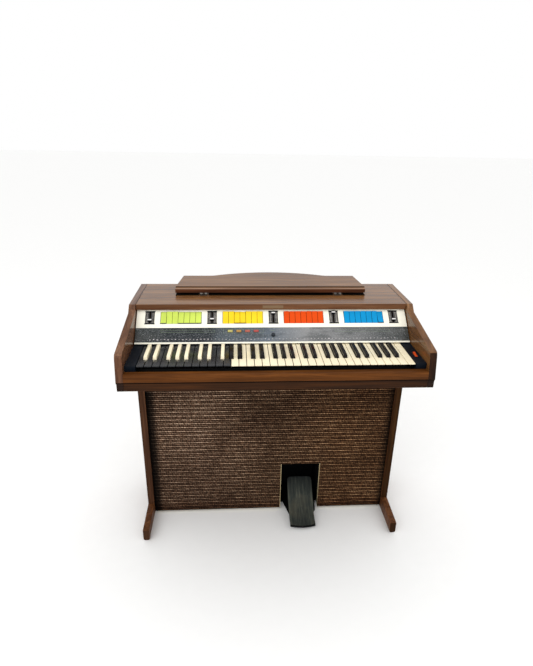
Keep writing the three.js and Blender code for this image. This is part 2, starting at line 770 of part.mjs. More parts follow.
// Tabs of one bank that stand alike, joined by a bar under the panel.
function tabComb(bank, places, raised) {
  const tilt = (raised ? -tabTiltDegrees : tabTiltDegrees) * degrees;
  const stemMiddle = raised ? -tabStemOffset : tabStemOffset;
  const shape = tabOutline(tilt, stemMiddle);
  const lefts = places.map((place) => bank + (place - 1 - tabCount * half) * tabPitch + tabGap * half);
  const tabs = lefts.map((left) => sideways(shape, left, left + tabPitch - tabGap));
  const stemHalf = tabStemWidth * half;
  const barTop = tabBarHeight - tabStemDepth;
  const bar = outline(turned([
    [stemMiddle - stemHalf, -tabStemDepth], [stemMiddle + stemHalf, -tabStemDepth],
    [stemMiddle + stemHalf, barTop], [stemMiddle - stemHalf, barTop]], tilt));
  tabs.push(sideways(bar, lefts[0] + tabGap, lefts.at(-1) + tabPitch - tabGap - tabGap));
  return joined(tabs);
}

function addTabs() {
  const middles = bankMiddles();
  const banks = [
    ['tabs_green_raised', 0, [1, 4, 5, 6, 7], true, greenPlastic],
    ['tabs_green_pressed', 0, [2, 3], false, greenPlastic],
    ['tabs_yellow_raised', 1, [3, 4], true, yellowPlastic],
    ['tabs_yellow_pressed', 1, [1, 2, 5, 6, 7], false, yellowPlastic],
    ['tabs_orange', 2, [1, 2, 3, 4, 5, 6, 7], false, orangePlastic],
    ['tabs_blue_pressed', 3, [1, 2, 3, 4, 5, 6], false, bluePlastic],
    ['tabs_blue_raised', 3, [7], true, bluePlastic]];
  for (const [name, bank, places, raised, material] of banks) {
    const comb = tabComb(middles[bank], places, raised);
    add(name, comb, material, panel).position.set(0, -bankMiddle, tabPivotLift);
  }
}

function addButtons() {
  const colours = [
    ['yellow', yellowPlastic], ['orange', orangePlastic], ['pink', pinkPlastic], ['red', redPlastic]];
  buttonMiddles().forEach((middle, i) => {
    const side = buttonWidth * half;
    const reach = buttonLength * half;
    const underside = -glassThickness - seatGap;
    const cap = block([-side, -reach, underside - joinDepth], [side, reach, buttonProud]);
    const flange = block(
      [-side - buttonFlange, -reach - buttonFlange, underside - buttonFlangeThickness],
      [side + buttonFlange, reach + buttonFlange, underside]);
    const [colour, material] = colours[i % colours.length];
    const button = add(`push_button_${colour}`, joined([cap, flange]), material, panel);
    button.position.set(middle, -buttonDrop, 0);
  });
}

function addRotaryKnob() {
  const profile = [
    [0, -knobShaftReach], [knobShaftRadius, -knobShaftReach], [knobShaftRadius, seatGap],
    [knobRadius, seatGap], [knobTopRadius, knobHeight], [0, knobHeight]];
  const geometry = new THREE.LatheGeometry(profile.map(([r, up]) => new THREE.Vector2(r, up)), roundSteps);
  geometry.rotateX(90 * degrees);
  add('rotary_knob', geometry, blackPlastic, panel).position.set(knobOffset, -knobDrop, 0);
}

// Music rest. In its group Y runs back along the board and Z out of its face, from the hinge line.
const rest = new THREE.Group();
const restHingeLine = topSetback + restHingeSetback;
const restHingeHeight = caseTop + restHingeRise;
rest.position.set(0, restHingeLine, restHingeHeight);
rest.rotation.x = restTiltDegrees * degrees;
organ.add(rest);

function restOutline() {
  const shape = new THREE.Shape();
  const front = lipDepth - lipOverhang + seatGap;
  const shoulderHalf = restFrontWidth * half - restTaper;
  const chordHalf = restArchWidth * half;
  const archRadius = (chordHalf ** 2 + restArchRise ** 2) / (2 * restArchRise);
  const archCentre = restShoulderDepth + restArchRise - archRadius;
  const arcHalf = chordHalf - restArchFillet;
  const arcEnd = Math.acos(arcHalf / archRadius);
  const arcEndDepth = archCentre + archRadius * Math.sin(arcEnd);
  shape.moveTo(-restFrontWidth * half, front);
  shape.lineTo(restFrontWidth * half, front);
  shape.lineTo(shoulderHalf, restShoulderDepth);
  shape.lineTo(chordHalf + restArchFillet, restShoulderDepth);
  shape.quadraticCurveTo(chordHalf, restShoulderDepth, arcHalf, arcEndDepth);
  shape.absarc(0, archCentre, archRadius, arcEnd, Math.PI - arcEnd, false);
  shape.quadraticCurveTo(-chordHalf, restShoulderDepth, -chordHalf - restArchFillet, restShoulderDepth);
  shape.lineTo(-shoulderHalf, restShoulderDepth);
  return shape;
}

function addMusicRest() {
  add('music_rest_board', lying(restOutline(), boardFloor, boardFloor + restBoardThickness), walnut, rest);
  const lip = outline([
    [-lipOverhang, lipFloor], [lipDepth - lipOverhang, lipFloor],
    [lipDepth - lipOverhang, boardFloor + restBoardThickness], [-lipOverhang, lipFloor + lipHeight]]);
  add('music_rest_lip', sideways(lip, -restFrontWidth * half, restFrontWidth * half), walnut, rest);
  for (const [side, sign] of [['left', -1], ['right', 1]]) {
    const middle = sign * hingeSpacing * half;
    add(`rest_hinge_base_${side}`, hingeBase(middle), steel);
    add(`rest_hinge_leaf_${side}`, hingeLeaf(middle), steel, rest);
    addBuffer(side, sign);
  }
}

function hingeBase(middle) {
  const bottom = caseTop + seatGap;
  const leaf = block(
    [middle - hingeSpan * half, restHingeLine - hingeBaseDepth, bottom],
    [middle + hingeSpan * half, restHingeLine - hingeBarrelRadius - seatGap, bottom + hingeLeafThickness]);
  const neck = block(
    [middle - hingeBarrelLength * half, restHingeLine - hingeBarrelRadius - joinDepth, bottom],
    [middle + hingeBarrelLength * half, restHingeLine, bottom + hingeLeafThickness]);
  const barrel = rodAlongX(hingeBarrelRadius, middle - hingeBarrelLength * half,
    middle + hingeBarrelLength * half, restHingeLine, restHingeHeight);
  return joined([leaf, neck, barrel]);
}

function hingeLeaf(middle) {
  const top = lipFloor - seatGap;
  const bottom = top - hingeLeafThickness;
  const parts = [block(
    [middle - hingeSpan * half, hingeLeafInset, bottom],
    [middle + hingeSpan * half, hingeLeafDepth, top])];
  for (const sign of [-1, 1]) {
    const near = middle + sign * (hingeBarrelLength * half + seatGap);
    const far = middle + sign * hingeSpan * half;
    const left = Math.min(near, far);
    const right = Math.max(near, far);
    parts.push(rodAlongX(hingeBarrelRadius, left, right, 0, 0));
    parts.push(block([left, 0, bottom], [right, hingeLeafInset + joinDepth, top]));
  }
  return joined(parts);
}

// Rubber buffer that the folded rest lies on; its top stops just under the tilted board.
function addBuffer(side, sign) {
  const place = restHingeLine + bufferReach;
  const tilt = restTiltDegrees * degrees;
  const along = (bufferReach - bufferRadius) / Math.cos(tilt);
  const height = restHingeRise + along * Math.sin(tilt) + boardFloor - 2 * seatGap;
  const geometry = new THREE.CylinderGeometry(bufferRadius, bufferRadius, height, roundSteps);
  geometry.rotateX(90 * degrees).translate(0, 0, height * half);
  const buffer = add(`rest_buffer_${side}`, geometry, rubber);
  buffer.position.set(sign * (restFrontWidth * half - bufferInset), place, caseTop + seatGap);
}

// Stand: two legs with long feet and the cloth-covered board between them.
const legOuter = caseHalf - legInset;
const legInner = legOuter - legThickness;

function legOutline() {
  const shape = new THREE.Shape();
  const top = trayBottom - seatGap;
  const ankle = footNoseHeight + footRise;
  shape.moveTo(footFront + footCorner, 0);
  shape.lineTo(footBack - footCorner, 0);
  shape.quadraticCurveTo(footBack, 0, footBack, footCorner);
  shape.lineTo(footBack, footNoseHeight - footNoseCorner);
  shape.quadraticCurveTo(footBack, footNoseHeight, footBack - footNoseCorner, footNoseHeight);
  shape.lineTo(legBack, ankle);
  shape.lineTo(legBack, top);
  shape.lineTo(legFront, top);
  shape.lineTo(legFront, ankle);
  shape.lineTo(footFront + footNoseCorner, footNoseHeight);
  shape.quadraticCurveTo(footFront, footNoseHeight, footFront, footNoseHeight - footNoseCorner);
  shape.lineTo(footFront, footCorner);
  shape.quadraticCurveTo(footFront, 0, footFront + footCorner, 0);
  return shape;
}

function pedalBoardOutline() {
  const side = legInner - seatGap;
  const top = trayBottom - seatGap;
  const cutoutRight = cutoutLeft + cutoutWidth;
  return outline([
    [-side, boardLift], [cutoutLeft, boardLift], [cutoutLeft, cutoutTop], [cutoutRight, cutoutTop],
    [cutoutRight, boardLift], [side, boardLift], [side, top], [-side, top]]);
}

function addStand() {
  add('leg_left', sideways(legOutline(), -legOuter, -legInner), walnut);
  add('leg_right', sideways(legOutline(), legInner, legOuter), walnut);
  const clothBack = clothFront + clothThickness;
  const boardFront = clothBack + seatGap;
  add('grille_cloth', standing(pedalBoardOutline(), clothFront, clothBack), grilleCloth);
  const boardBack = boardFront + boardThickness;
  const soundSlots = Array.from({ length: soundSlotCount }, (_, i) => {
    const middle = speakerOffset + (i - (soundSlotCount - 1) * half) * soundSlotPitch;
    return block(
      [middle - soundSlotWidth * half, boardFront - cutOverrun, speakerHeight - soundSlotLength * half],
      [middle + soundSlotWidth * half, boardBack + cutOverrun, speakerHeight + soundSlotLength * half]);
  });
  add('grille_board', cut(standing(pedalBoardOutline(), boardFront, boardBack), soundSlots), bareBoard);
  addLowerBack();
  addSpeaker(boardFront + boardThickness + seatGap);
}

function addLowerBack() {
  const side = legInner - seatGap;
  const back = legBack - lowerBackInset;
  const front = back - lowerBackThickness;
  const plate = block([-side, front, lowerBackLift], [side, back, trayBottom - seatGap]);
  add('lower_rear_cover', cut(plate, vents(front, back, trayBottom - ventDrop)), bareBoard);
}

// Loudspeaker behind the sound slots, facing the player.
function addSpeaker(flangeFront) {
  const basketEnd = speakerBasketDepth + speakerFlange;
  const coneEnd = speakerFlange + speakerConeDepth;
  const profile = [
    [0, coneEnd - speakerCapRise], [speakerCapRadius, coneEnd], [speakerConeRadius, 0],
    [speakerRadius, 0], [speakerRadius, speakerFlange], [speakerConeRadius + speakerFlange, speakerFlange],
    [speakerMagnetRadius, basketEnd], [speakerMagnetRadius, basketEnd + speakerMagnetDepth],
    [0, basketEnd + speakerMagnetDepth]];
  const points = profile.map(([r, back]) => new THREE.Vector2(r, -back)).reverse();
  const geometry = new THREE.LatheGeometry(points, roundSteps);
  geometry.rotateX(180 * degrees);
  add('loudspeaker', geometry, blackSteel).position.set(speakerOffset, flangeFront, speakerHeight);
}

// Swell pedal: curved tread with a ribbed rubber, axle, and a housing behind the cutout.
function arcPoint(angle, depth) {
  const start = pedalHeelDegrees * degrees;
  const centre = [
    pedalHeel - pedalRadius * Math.sin(start), pedalHeelHeight + pedalRadius * Math.cos(start)];
  const radius = pedalRadius + depth;
  return [centre[0] + radius * Math.sin(angle), centre[1] - radius * Math.cos(angle)];
}

// Band between two depths under the tread's upper face, from the heel to the toe.
function treadBand(top, bottom, inset) {
  const trim = inset / pedalRadius;
  const start = pedalHeelDegrees * degrees + trim;
  const end = pedalToeDegrees * degrees - trim;
  const angles = Array.from({ length: treadSteps + 1 }, (_, i) => start + (end - start) * (i / treadSteps));
  const lower = angles.map((angle) => arcPoint(angle, bottom));
  const upper = angles.map((angle) => arcPoint(angle, top)).reverse();
  return outline([...lower, ...upper]);
}

function addPedal() {
  const plateTop = pedalRubberThickness + seatGap;
  const plateBottom = plateTop + pedalPlateThickness;
  const left = pedalMiddle - pedalWidth * half;
  const right = pedalMiddle + pedalWidth * half;
  const hubLeft = pedalMiddle - pedalHubWidth * half;
  const hubRight = pedalMiddle + pedalHubWidth * half;
  const plate = sideways(treadBand(plateTop, plateBottom, 0), left, right);
  const hub = rodAlongX(pedalHubRadius, hubLeft, hubRight, pedalAxleSetback, pedalAxleHeight);
  const webFront = pedalAxleSetback - pedalHubRadius;
  const webBack = pedalAxleSetback + pedalHubRadius;
  const plateMiddle = (plateTop + plateBottom) * half;
  const web = sideways(outline([
    [webFront, pedalAxleHeight], [webBack, pedalAxleHeight],
    arcPoint(angleAt(webBack), plateMiddle), arcPoint(angleAt(webFront), plateMiddle)]), hubLeft, hubRight);
  const bore = rodAlongX(pedalAxleRadius + seatGap, left, right, pedalAxleSetback, pedalAxleHeight);
  add('pedal_tread', cut(joined([plate, hub, web]), [bore]), blackSteel);
  add('pedal_rubber', pedalRubber(left, right), rubber);
  const earFace = pedalHubWidth * half + pedalEarGap + pedalEarThickness;
  const axleHalf = earFace + pedalAxleProud;
  const axle = rodAlongX(
    pedalAxleRadius, pedalMiddle - axleHalf, pedalMiddle + axleHalf, pedalAxleSetback, pedalAxleHeight);
  add('pedal_axle', axle, steel);
  add('pedal_housing', pedalHousing(), blackSteel);
}

function angleAt(setback) {
  const start = pedalHeelDegrees * degrees;
  return Math.asin((setback - pedalHeel) / pedalRadius + Math.sin(start));
}

// Rubber with ribs that run from the heel to the toe.
function pedalRubber(left, right) {
  const parts = [sideways(treadBand(pedalRibHeight, pedalRubberThickness, pedalRubberInset), left, right)];
  const ribPitch = pedalWidth / pedalRibCount;
  for (let i = 0; i < pedalRibCount; i += 1) {
    const ribLeft = left + i * ribPitch + ribPitch / 4;
    parts.push(sideways(
      treadBand(0, pedalRibHeight + joinDepth, pedalRubberInset), ribLeft, ribLeft + ribPitch * half));
  }
  return joined(parts);
}

function pedalHousing() {
  const left = cutoutLeft - housingMargin;
  const right = cutoutLeft + cutoutWidth + housingMargin;
  const top = cutoutTop + housingMargin;
  const front = clothFront + clothThickness + seatGap + boardThickness + seatGap;
  const back = front + housingDepth;
  const floor = housingLift + housingWall;
  const outerLeft = left - housingWall;
  const outerRight = right + housingWall;
  const shell = cut(
    block([outerLeft, front, housingLift], [outerRight, back, top + housingWall]),
    [block([left, front - cutOverrun, floor], [right, back - housingWall, top]),
      block(
        [outerLeft - cutOverrun, front - cutOverrun, housingLift - cutOverrun],
        [outerRight + cutOverrun, footPlateBack, floor])]);
  const foot = lying(outline([
    [pedalMiddle - footPlateReach, footPlateBack + joinDepth], [pedalMiddle - footPlateLeft, footPlateFront],
    [pedalMiddle + footPlateRight, footPlateFront],
    [pedalMiddle + footPlateCornerReach, footPlateFront + footPlateCornerBack],
    [pedalMiddle + footPlateReach, footPlateBack + joinDepth]]), housingLift, floor);
  const ears = [-1, 1].map((sign) => {
    const near = pedalMiddle + sign * (pedalHubWidth * half + pedalEarGap);
    const far = near + sign * pedalEarThickness;
    return block(
      [Math.min(near, far), pedalAxleSetback - pedalEarWidth * half, housingLift],
      [Math.max(near, far), pedalAxleSetback + pedalEarWidth * half, pedalAxleHeight + pedalEarRise]);
  });
  const bore = rodAlongX(pedalAxleRadius + seatGap, left, right, pedalAxleSetback, pedalAxleHeight);
  return cut(joined([shell, foot, ...ears]), [bore]);
}

// Inner pieces of the case: circuit board, transformer and mains inlet.
function addInnerPieces() {
  const floor = trayTop + seatGap;
  const back = caseDepth - backInset - backThickness - circuitRearGap;
  const front = chassisBack + circuitFrontGap;
  const left = circuitOffset - circuitWidth * half;
  const right = circuitOffset + circuitWidth * half;
  const boardBottom = floor + circuitRise;
  const boardTop = boardBottom + circuitThickness;
  const parts = [block([left, front, boardBottom], [right, back, boardTop])];
  for (const across of [left, right - circuitPost]) {
    for (const deep of [front, back - circuitPost]) {
      parts.push(block(
        [across, deep, floor], [across + circuitPost, deep + circuitPost, boardBottom + joinDepth]));
    }
  }
  for (let i = 0; i < chipCount; i += 1) {
    const middle = circuitOffset + (i - (chipCount - 1) * half) * chipPitch;
    const deep = (front + back) * half;
    parts.push(block(
      [middle - chipWidth * half, deep - chipDepth * half, boardTop - joinDepth],
      [middle + chipWidth * half, deep + chipDepth * half, boardTop + chipHeight]));
  }
  add('main_circuit_board', joined(parts), circuitGreen);
  const deep = (front + back) * half;
  const core = block(
    [coreOffset - coreWidth * half, deep - coreDepth * half, floor],
    [coreOffset + coreWidth * half, deep + coreDepth * half, floor + coreHeight]);
  const coilBottom = floor + (coreHeight - coilHeight) * half;
  const coil = block(
    [coreOffset - coilWidth * half, deep - coilDepth * half, coilBottom],
    [coreOffset + coilWidth * half, deep + coilDepth * half, coilBottom + coilHeight]);
  add('power_transformer', joined([core, coil]), blackSteel);
  addInlet();
}

function addInlet() {
  const panelBack = caseDepth - backInset;
  const bottom = trayTop + inletRise;
  const body = block(
    [inletOffset - inletWidth * half, panelBack - inletDepth, bottom],
    [inletOffset + inletWidth * half, panelBack + inletFlangeThickness, bottom + inletHeight]);
  const flange = block(
    [inletOffset - inletWidth * half - inletFlange, panelBack + seatGap, bottom - inletFlange],
    [inletOffset + inletWidth * half + inletFlange, panelBack + inletFlangeThickness,
      bottom + inletHeight + inletFlange]);
  add('mains_inlet', joined([body, flange]), blackPlastic);
}

addCase();
addCheekBlocks();
addKeyboard();
addPanelPlates();
addSliders();
addTabs();
addButtons();
addRotaryKnob();
addMusicRest();
addStand();
addPedal();
addInnerPieces();

// The origin is on the floor under the middle of the organ's bounding box.
organ.updateMatrixWorld(true);
const bounds = new THREE.Box3().setFromObject(organ, true);
organ.position.y = -(bounds.min.y + bounds.max.y) * half;

export default organ;
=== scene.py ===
"""Looks of the electronic organ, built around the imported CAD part.

Places are written in millimetres in the case's own frame: x to the player's right from the middle of the
organ, y from the case's front face to the back, z up from the floor. at() turns them into metres in the
part's frame. Places on the slanted panel and on the music rest have functions of their own.
"""

import math
import random

import bmesh
import bpy
from mathutils import Matrix, Vector


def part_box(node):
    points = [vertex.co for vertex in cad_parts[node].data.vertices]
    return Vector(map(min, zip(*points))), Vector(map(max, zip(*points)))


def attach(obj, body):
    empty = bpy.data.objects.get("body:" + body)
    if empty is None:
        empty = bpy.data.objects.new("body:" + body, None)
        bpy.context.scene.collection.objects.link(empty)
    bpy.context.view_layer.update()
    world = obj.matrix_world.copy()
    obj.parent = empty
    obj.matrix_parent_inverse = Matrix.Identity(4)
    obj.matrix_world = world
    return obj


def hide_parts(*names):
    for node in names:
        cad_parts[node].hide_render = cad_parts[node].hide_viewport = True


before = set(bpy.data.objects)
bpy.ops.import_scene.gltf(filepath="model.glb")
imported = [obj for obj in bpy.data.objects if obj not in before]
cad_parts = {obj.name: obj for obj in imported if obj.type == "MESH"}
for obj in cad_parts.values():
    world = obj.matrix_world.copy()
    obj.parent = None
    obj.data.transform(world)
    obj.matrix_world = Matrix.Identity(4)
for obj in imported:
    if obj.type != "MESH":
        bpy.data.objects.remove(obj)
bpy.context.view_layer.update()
case_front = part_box("side_panel_left")[0].y
METRES = 0.001

# Camera, fitted to the photograph.
CAMERA_PLACE = (-124.7, -1277.6, 1392.3)
CAMERA_YAW, CAMERA_PITCH, CAMERA_ROLL = 3.84, -22.70, 1.13
CAMERA_LENS, SENSOR_WIDTH = 26.28, 36.0

# Lights: place, target and size in metres, and power in watts.
LIGHTS = {
    "key_light": ((-1.6, -2.6, 2.8), (0.0, 0.0, 0.5), (2.4, 2.0), 28),
    "front_light": ((0.5, -3.2, 1.3), (0.0, 0.0, 0.7), (2.6, 1.2), 12),
    "top_light": ((0.4, 0.2, 3.4), (0.0, 0.0, 0.6), (2.6, 1.6), 6),
}

# Naturals, and the arms under them.
KEY_PITCH, KEY_COUNT, KEY_GAP = 23.5, 36, 1.0
KEYBOARD_WIDTH = KEY_COUNT * KEY_PITCH
KEY_TOP, KEY_FRONT, KEY_BACK = 740.0, 29.0, 244.0
LIP_THICKNESS = 3.6
ARM_HALF, ARM_FRONT, ARM_FOOT = 5.8, 62.0, 724.2
KEY_GROUPS = (("bass", 0, 12), ("tenor", 12, 21), ("treble", 21, 36))

# Sharps: their length and heights, and their widths at the base, the crest and the tail.
SHARP_FRONT, SHARP_END = 74.0, 168.0
SHARP_FOOT, SHARP_TOP = 733.0, 750.0
SHARP_BASE, SHARP_CREST, SHARP_TAIL = 12.0, 10.6, 10.2
SHARP_GROUPS = (("bass", 0, 11), ("tenor", 11, 21), ("treble", 21, 36))

# Slanted control panel: its top edge, its run and its drop.
PANEL_TOP = (275.0, 829.0)
PANEL_RUN, PANEL_DROP = 96.0, 84.0
PANEL_LENGTH = math.hypot(PANEL_RUN, PANEL_DROP)
SLOPE_COS, SLOPE_SIN = PANEL_RUN / PANEL_LENGTH, PANEL_DROP / PANEL_LENGTH
CONTROL_PITCH = KEYBOARD_WIDTH * 0.2431

# Slider windows: their floor lies under the panel's face, with bars over both ends and ticks beside the slot.
WINDOW_MIDDLE, WINDOW_WIDTH, WINDOW_HEIGHT = 30.0, 33.5, 51.0
WINDOW_FLOOR, PLATE_FACE, BAR_FACE = -2.5, -2.36, -2.26
SLOT_HALF, BAR_HEIGHT = 2.5, 4.6
TICK_START, TICK_PITCH, TICK_WIDTH, TICK_MIDDLE = 8.0, 4.2, 1.5, 9.6
SLIDER_SHARES = (0.71, 0.656, 0.214, 0.186, 0.72)

# Rocker tabs: seven to a bank, tilted about the line TAB_MIDDLE down the panel.
TAB_COUNT, TAB_PITCH, TAB_GAP = 7, CONTROL_PITCH * 0.0935, 0.8
TAB_MIDDLE, TAB_LENGTH = 31.4, 44.0
TAB_TILT, TAB_LIFT, TAB_DISH = 5.0, 1.2, 1.5

# Push buttons, rotary knob and the thickness of print on the smoked strip.
BUTTON_PITCH = CONTROL_PITCH * 0.139
BUTTONS = tuple((colour, CONTROL_PITCH * -0.705 + i * BUTTON_PITCH)
                for i, colour in enumerate(("yellow", "orange", "pink", "red")))
KNOB_PLACE = (-3.0, 98.0)
PRINT = 0.1

# Music rest: its hinge line, its tilt in degrees and the top of its board over the hinge line.
REST_HINGE = (371.0, 854.5)
REST_TILT = 3.0
REST_TOP = 21.9

# Swell pedal: angles of the tread's two ends about its own centre, in degrees, and how far its heel bows out.
TREAD_RADIUS, TREAD_HEEL = 241.0, (118.0, 26.0)
PEDAL_HEEL, PEDAL_TOE = 5.7, 51.5
PEDAL_BOW, TOE_RADIUS = 6.5, 15.0
SOLE_RADIUS = 10.6

# Pedal cutout, and the grille cloth: its two faces, the pitch of its bright rows and the length of one float.
CUTOUT_LEFT, CUTOUT_RIGHT, CUTOUT_TOP = 43.0, 191.0, 222.0
CLOTH_FRONT, CLOTH_BACK = 226.0, 227.2
CLOTH_ROW, CLOTH_FLOAT = 16.3, 9.6

random.seed(11)


def at(x, y, z):
    return Vector((x * METRES, case_front + y * METRES, z * METRES))


def case_box(node):
    """A node's lowest and highest corners, in millimetres in the case's own frame."""
    return [(corner - at(0, 0, 0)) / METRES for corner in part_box(node)]


def on_panel(x, down, out=0.0):
    """A point of the slanted panel: x across, down the slope from its top edge, out of its face."""
    return at(
        x,
        PANEL_TOP[0] - down * SLOPE_COS - out * SLOPE_SIN,
        PANEL_TOP[1] - down * SLOPE_SIN + out * SLOPE_COS,
    )


def on_rest(x, back, out):
    """A point of the music rest: x across, back from its hinge line, out of its face."""
    tilt = math.radians(REST_TILT)
    return at(
        x,
        REST_HINGE[0] + back * math.cos(tilt) - out * math.sin(tilt),
        REST_HINGE[1] + back * math.sin(tilt) + out * math.cos(tilt),
    )


# Materials.


def linear(*tone):
    """A tone of the screen, from 0 to 255, as a colour in linear light."""
    channels = []
    for value in tone:
        share = value / 255
        channels.append(share / 12.92 if share <= 0.04045 else ((share + 0.055) / 1.055) ** 2.4)
    return (*channels, 1.0)


def new_material(name, roughness, metallic=0.0, specular=0.5):
    """A material, its node tree, its shader and the object's own coordinates."""
    material = bpy.data.materials.new(name)
    material.use_nodes = True
    tree = material.node_tree
    shader = tree.nodes["Principled BSDF"]
    shader.inputs["Roughness"].default_value = roughness
    shader.inputs["Metallic"].default_value = metallic
    shader.inputs["Specular IOR Level"].default_value = specular
    return material, tree, shader, add_node(tree, "ShaderNodeTexCoord").outputs["Object"]


def add_node(tree, kind, inputs=None, **settings):
    made = tree.nodes.new(kind)
    for name, value in settings.items():
        setattr(made, name, value)
    for name, value in (inputs or {}).items():
        if isinstance(value, bpy.types.NodeSocket):
            tree.links.new(value, made.inputs[name])
        else:
            made.inputs[name].default_value = value
    return made


def math_node(tree, operation, first, second=0.5):
    return add_node(tree, "ShaderNodeMath", {0: first, 1: second}, operation=operation).outputs[0]


def times(tree, first, second):
    return math_node(tree, "MULTIPLY", first, second)


def noise(tree, vector, scale, detail=4.0, roughness=0.5, distortion=0.0):
    made = add_node(tree, "ShaderNodeTexNoise", {
        "Vector": vector, "Scale": scale, "Detail": detail, "Roughness": roughness, "Distortion": distortion})
    return made.outputs["Fac"]


def ramp(tree, factor, *stops):
    made = add_node(tree, "ShaderNodeValToRGB", {"Fac": factor})
    elements = made.color_ramp.elements
    while len(elements) < len(stops):
        elements.new(0.5)
    for element, (position, colour) in zip(elements, stops):
        element.position = position
        element.color = colour if len(colour) == 4 else (*colour, 1.0)
    return made.outputs["Color"]


def fade(tree, factor, *stops):
    """A ramp in greys, from (position, brightness) stops."""
    return ramp(tree, factor, *((position, (grey,) * 3) for position, grey in stops))


def mix(tree, factor, first, second, blend="MIX"):
    """A colour mix, whose factor and colours are inputs 0, 6 and 7, and whose colour is output 2."""
    inputs = {0: factor, 6: first, 7: second}
    return add_node(tree, "ShaderNodeMix", inputs, data_type="RGBA", blend_type=blend).outputs[2]


def bump(tree, shader, height, strength, distance=0.001):
    made = add_node(tree, "ShaderNodeBump", {"Height": height, "Strength": strength, "Distance": distance})
    tree.links.new(made.outputs["Normal"], shader.inputs["Normal"])


def between(tree, value, low, high, start=0.0, end=1.0):
    """A value that runs straight from start, where the given one is low, to end, where it is high."""
    return add_node(tree, "ShaderNodeMapRange", {0: value, 1: low, 2: high, 3: start, 4: end}).outputs[0]


def spread(tree, factor, low, high):
    """A value that runs from low to high as factor runs over a noise's usual range."""
    return between(tree, factor, 0.3, 0.7, low, high)


def axes_of(tree, place):
    return add_node(tree, "ShaderNodeSeparateXYZ", {"Vector": place}).outputs


def feed(tree, shader, colour, roughness):
    tree.links.new(colour, shader.inputs["Base Color"])
    tree.links.new(roughness, shader.inputs["Roughness"])


def stretched(tree, vector, scale):
    return add_node(tree, "ShaderNodeMapping", {"Vector": vector, "Scale": scale}).outputs["Vector"]


def wood(name, grain, tones, roughness, specular):
    """Wood whose grain runs along the named axis."""
    material, tree, shader, place = new_material(name, 0.3, specular=specular)
    dark, middle, light = (linear(*tone) for tone in tones)
    broad = stretched(tree, place, [1.1 if axis == grain else 26.0 for axis in "XYZ"])
    fibre = stretched(tree, place, [6.0 if axis == grain else 330.0 for axis in "XYZ"])
    figure = noise(tree, broad, 1.3, 8.0, 0.66, 1.1)
    streaks = noise(tree, broad, 6.0, 5.0, 0.62, 0.5)
    pores = noise(tree, fibre, 1.0, 3.0, 0.7)
    tone = noise(tree, place, 2.4, 2.0)
    base = ramp(tree, figure, (0.32, dark), (0.5, middle), (0.7, light))
    veined = mix(tree, fade(tree, streaks, (0.44, 0), (0.64, 1)), base, dark)
    soft = mix(tree, 0.5, base, veined)
    porous = mix(tree, fade(tree, pores, (0.3, 0.6), (0.47, 0)), soft, dark)
    toned = mix(tree, 1.0, porous, fade(tree, tone, (0.3, 0.84), (0.7, 1.12)), "MULTIPLY")
    feed(tree, shader, toned, spread(tree, streaks, *roughness))
    bump(tree, shader, pores, 0.1, 0.0003)
    return material


def plastic(name, tone, roughness, specular, shade=0.06, grain=0.04):
    """Plastic, paint or print with slight colour variation, faint wear and a fine surface."""
    material, tree, shader, place = new_material(name, roughness, specular=specular)
    clouds = noise(tree, place, 24.0, 3.0)
    channels = linear(*tone)[:3]
    low = [channel * (1 - shade * 2) for channel in channels]
    high = [min(1.0, channel * (1 + shade)) for channel in channels]
    base = ramp(tree, clouds, (0.32, low), (0.68, high))
    feed(tree, shader, base, spread(tree, clouds, roughness * 0.85, roughness * 1.2))
    bump(tree, shader, noise(tree, place, 900.0, 2.0), grain, 0.0002)
    return material


def metal(name, tone, roughness, metallic):
    """Metal brushed along x."""
    material, tree, shader, place = new_material(name, roughness, metallic)
    lines = noise(tree, stretched(tree, place, (20.0, 900.0, 900.0)), 1.0, 3.0)
    bright = linear(*tone)[:3]
    base = ramp(tree, lines, (0.3, [channel * 0.75 for channel in bright]), (0.7, bright))
    feed(tree, shader, base, spread(tree, lines, roughness * 0.8, roughness * 1.3))
    bump(tree, shader, lines, 0.06, 0.0002)
    return material


def cloth_rows(tree, place, axes, across):
    """The wave of the rows, and their bright yarn: strong and weak in turn, in dots and dashes."""
    sway = times(tree, noise(tree, place, 7.0, 2.0), 0.0045)
    rows = times(tree, math_node(tree, "ADD", axes["Z"], sway), 1 / (CLOTH_ROW * METRES))
    wave = math_node(tree, "SINE", times(tree, rows, 2 * math.pi))
    shift = times(tree, math_node(tree, "ROUND", times(tree, rows, 2.0)), 2.4)
    jitter = times(tree, noise(tree, place, 80.0, 2.0), 3.0)
    dots = math_node(tree, "SINE", math_node(tree, "ADD", math_node(tree, "ADD", across, shift), jitter))
    long = noise(tree, stretched(tree, place, (34.0, 34.0, 170.0)), 1.0, 3.0, 0.65)
    strong = between(tree, wave, 0.75, 0.97)
    weak = times(tree, between(tree, wave, -0.84, -1.0), 0.34)
    dotted = times(tree, math_node(tree, "MAXIMUM", strong, weak), between(tree, dots, -0.8, 0.5, 0.2, 1.0))
    return wave, times(tree, dotted, between(tree, long, 0.4, 0.56, 0.5, 1.0))


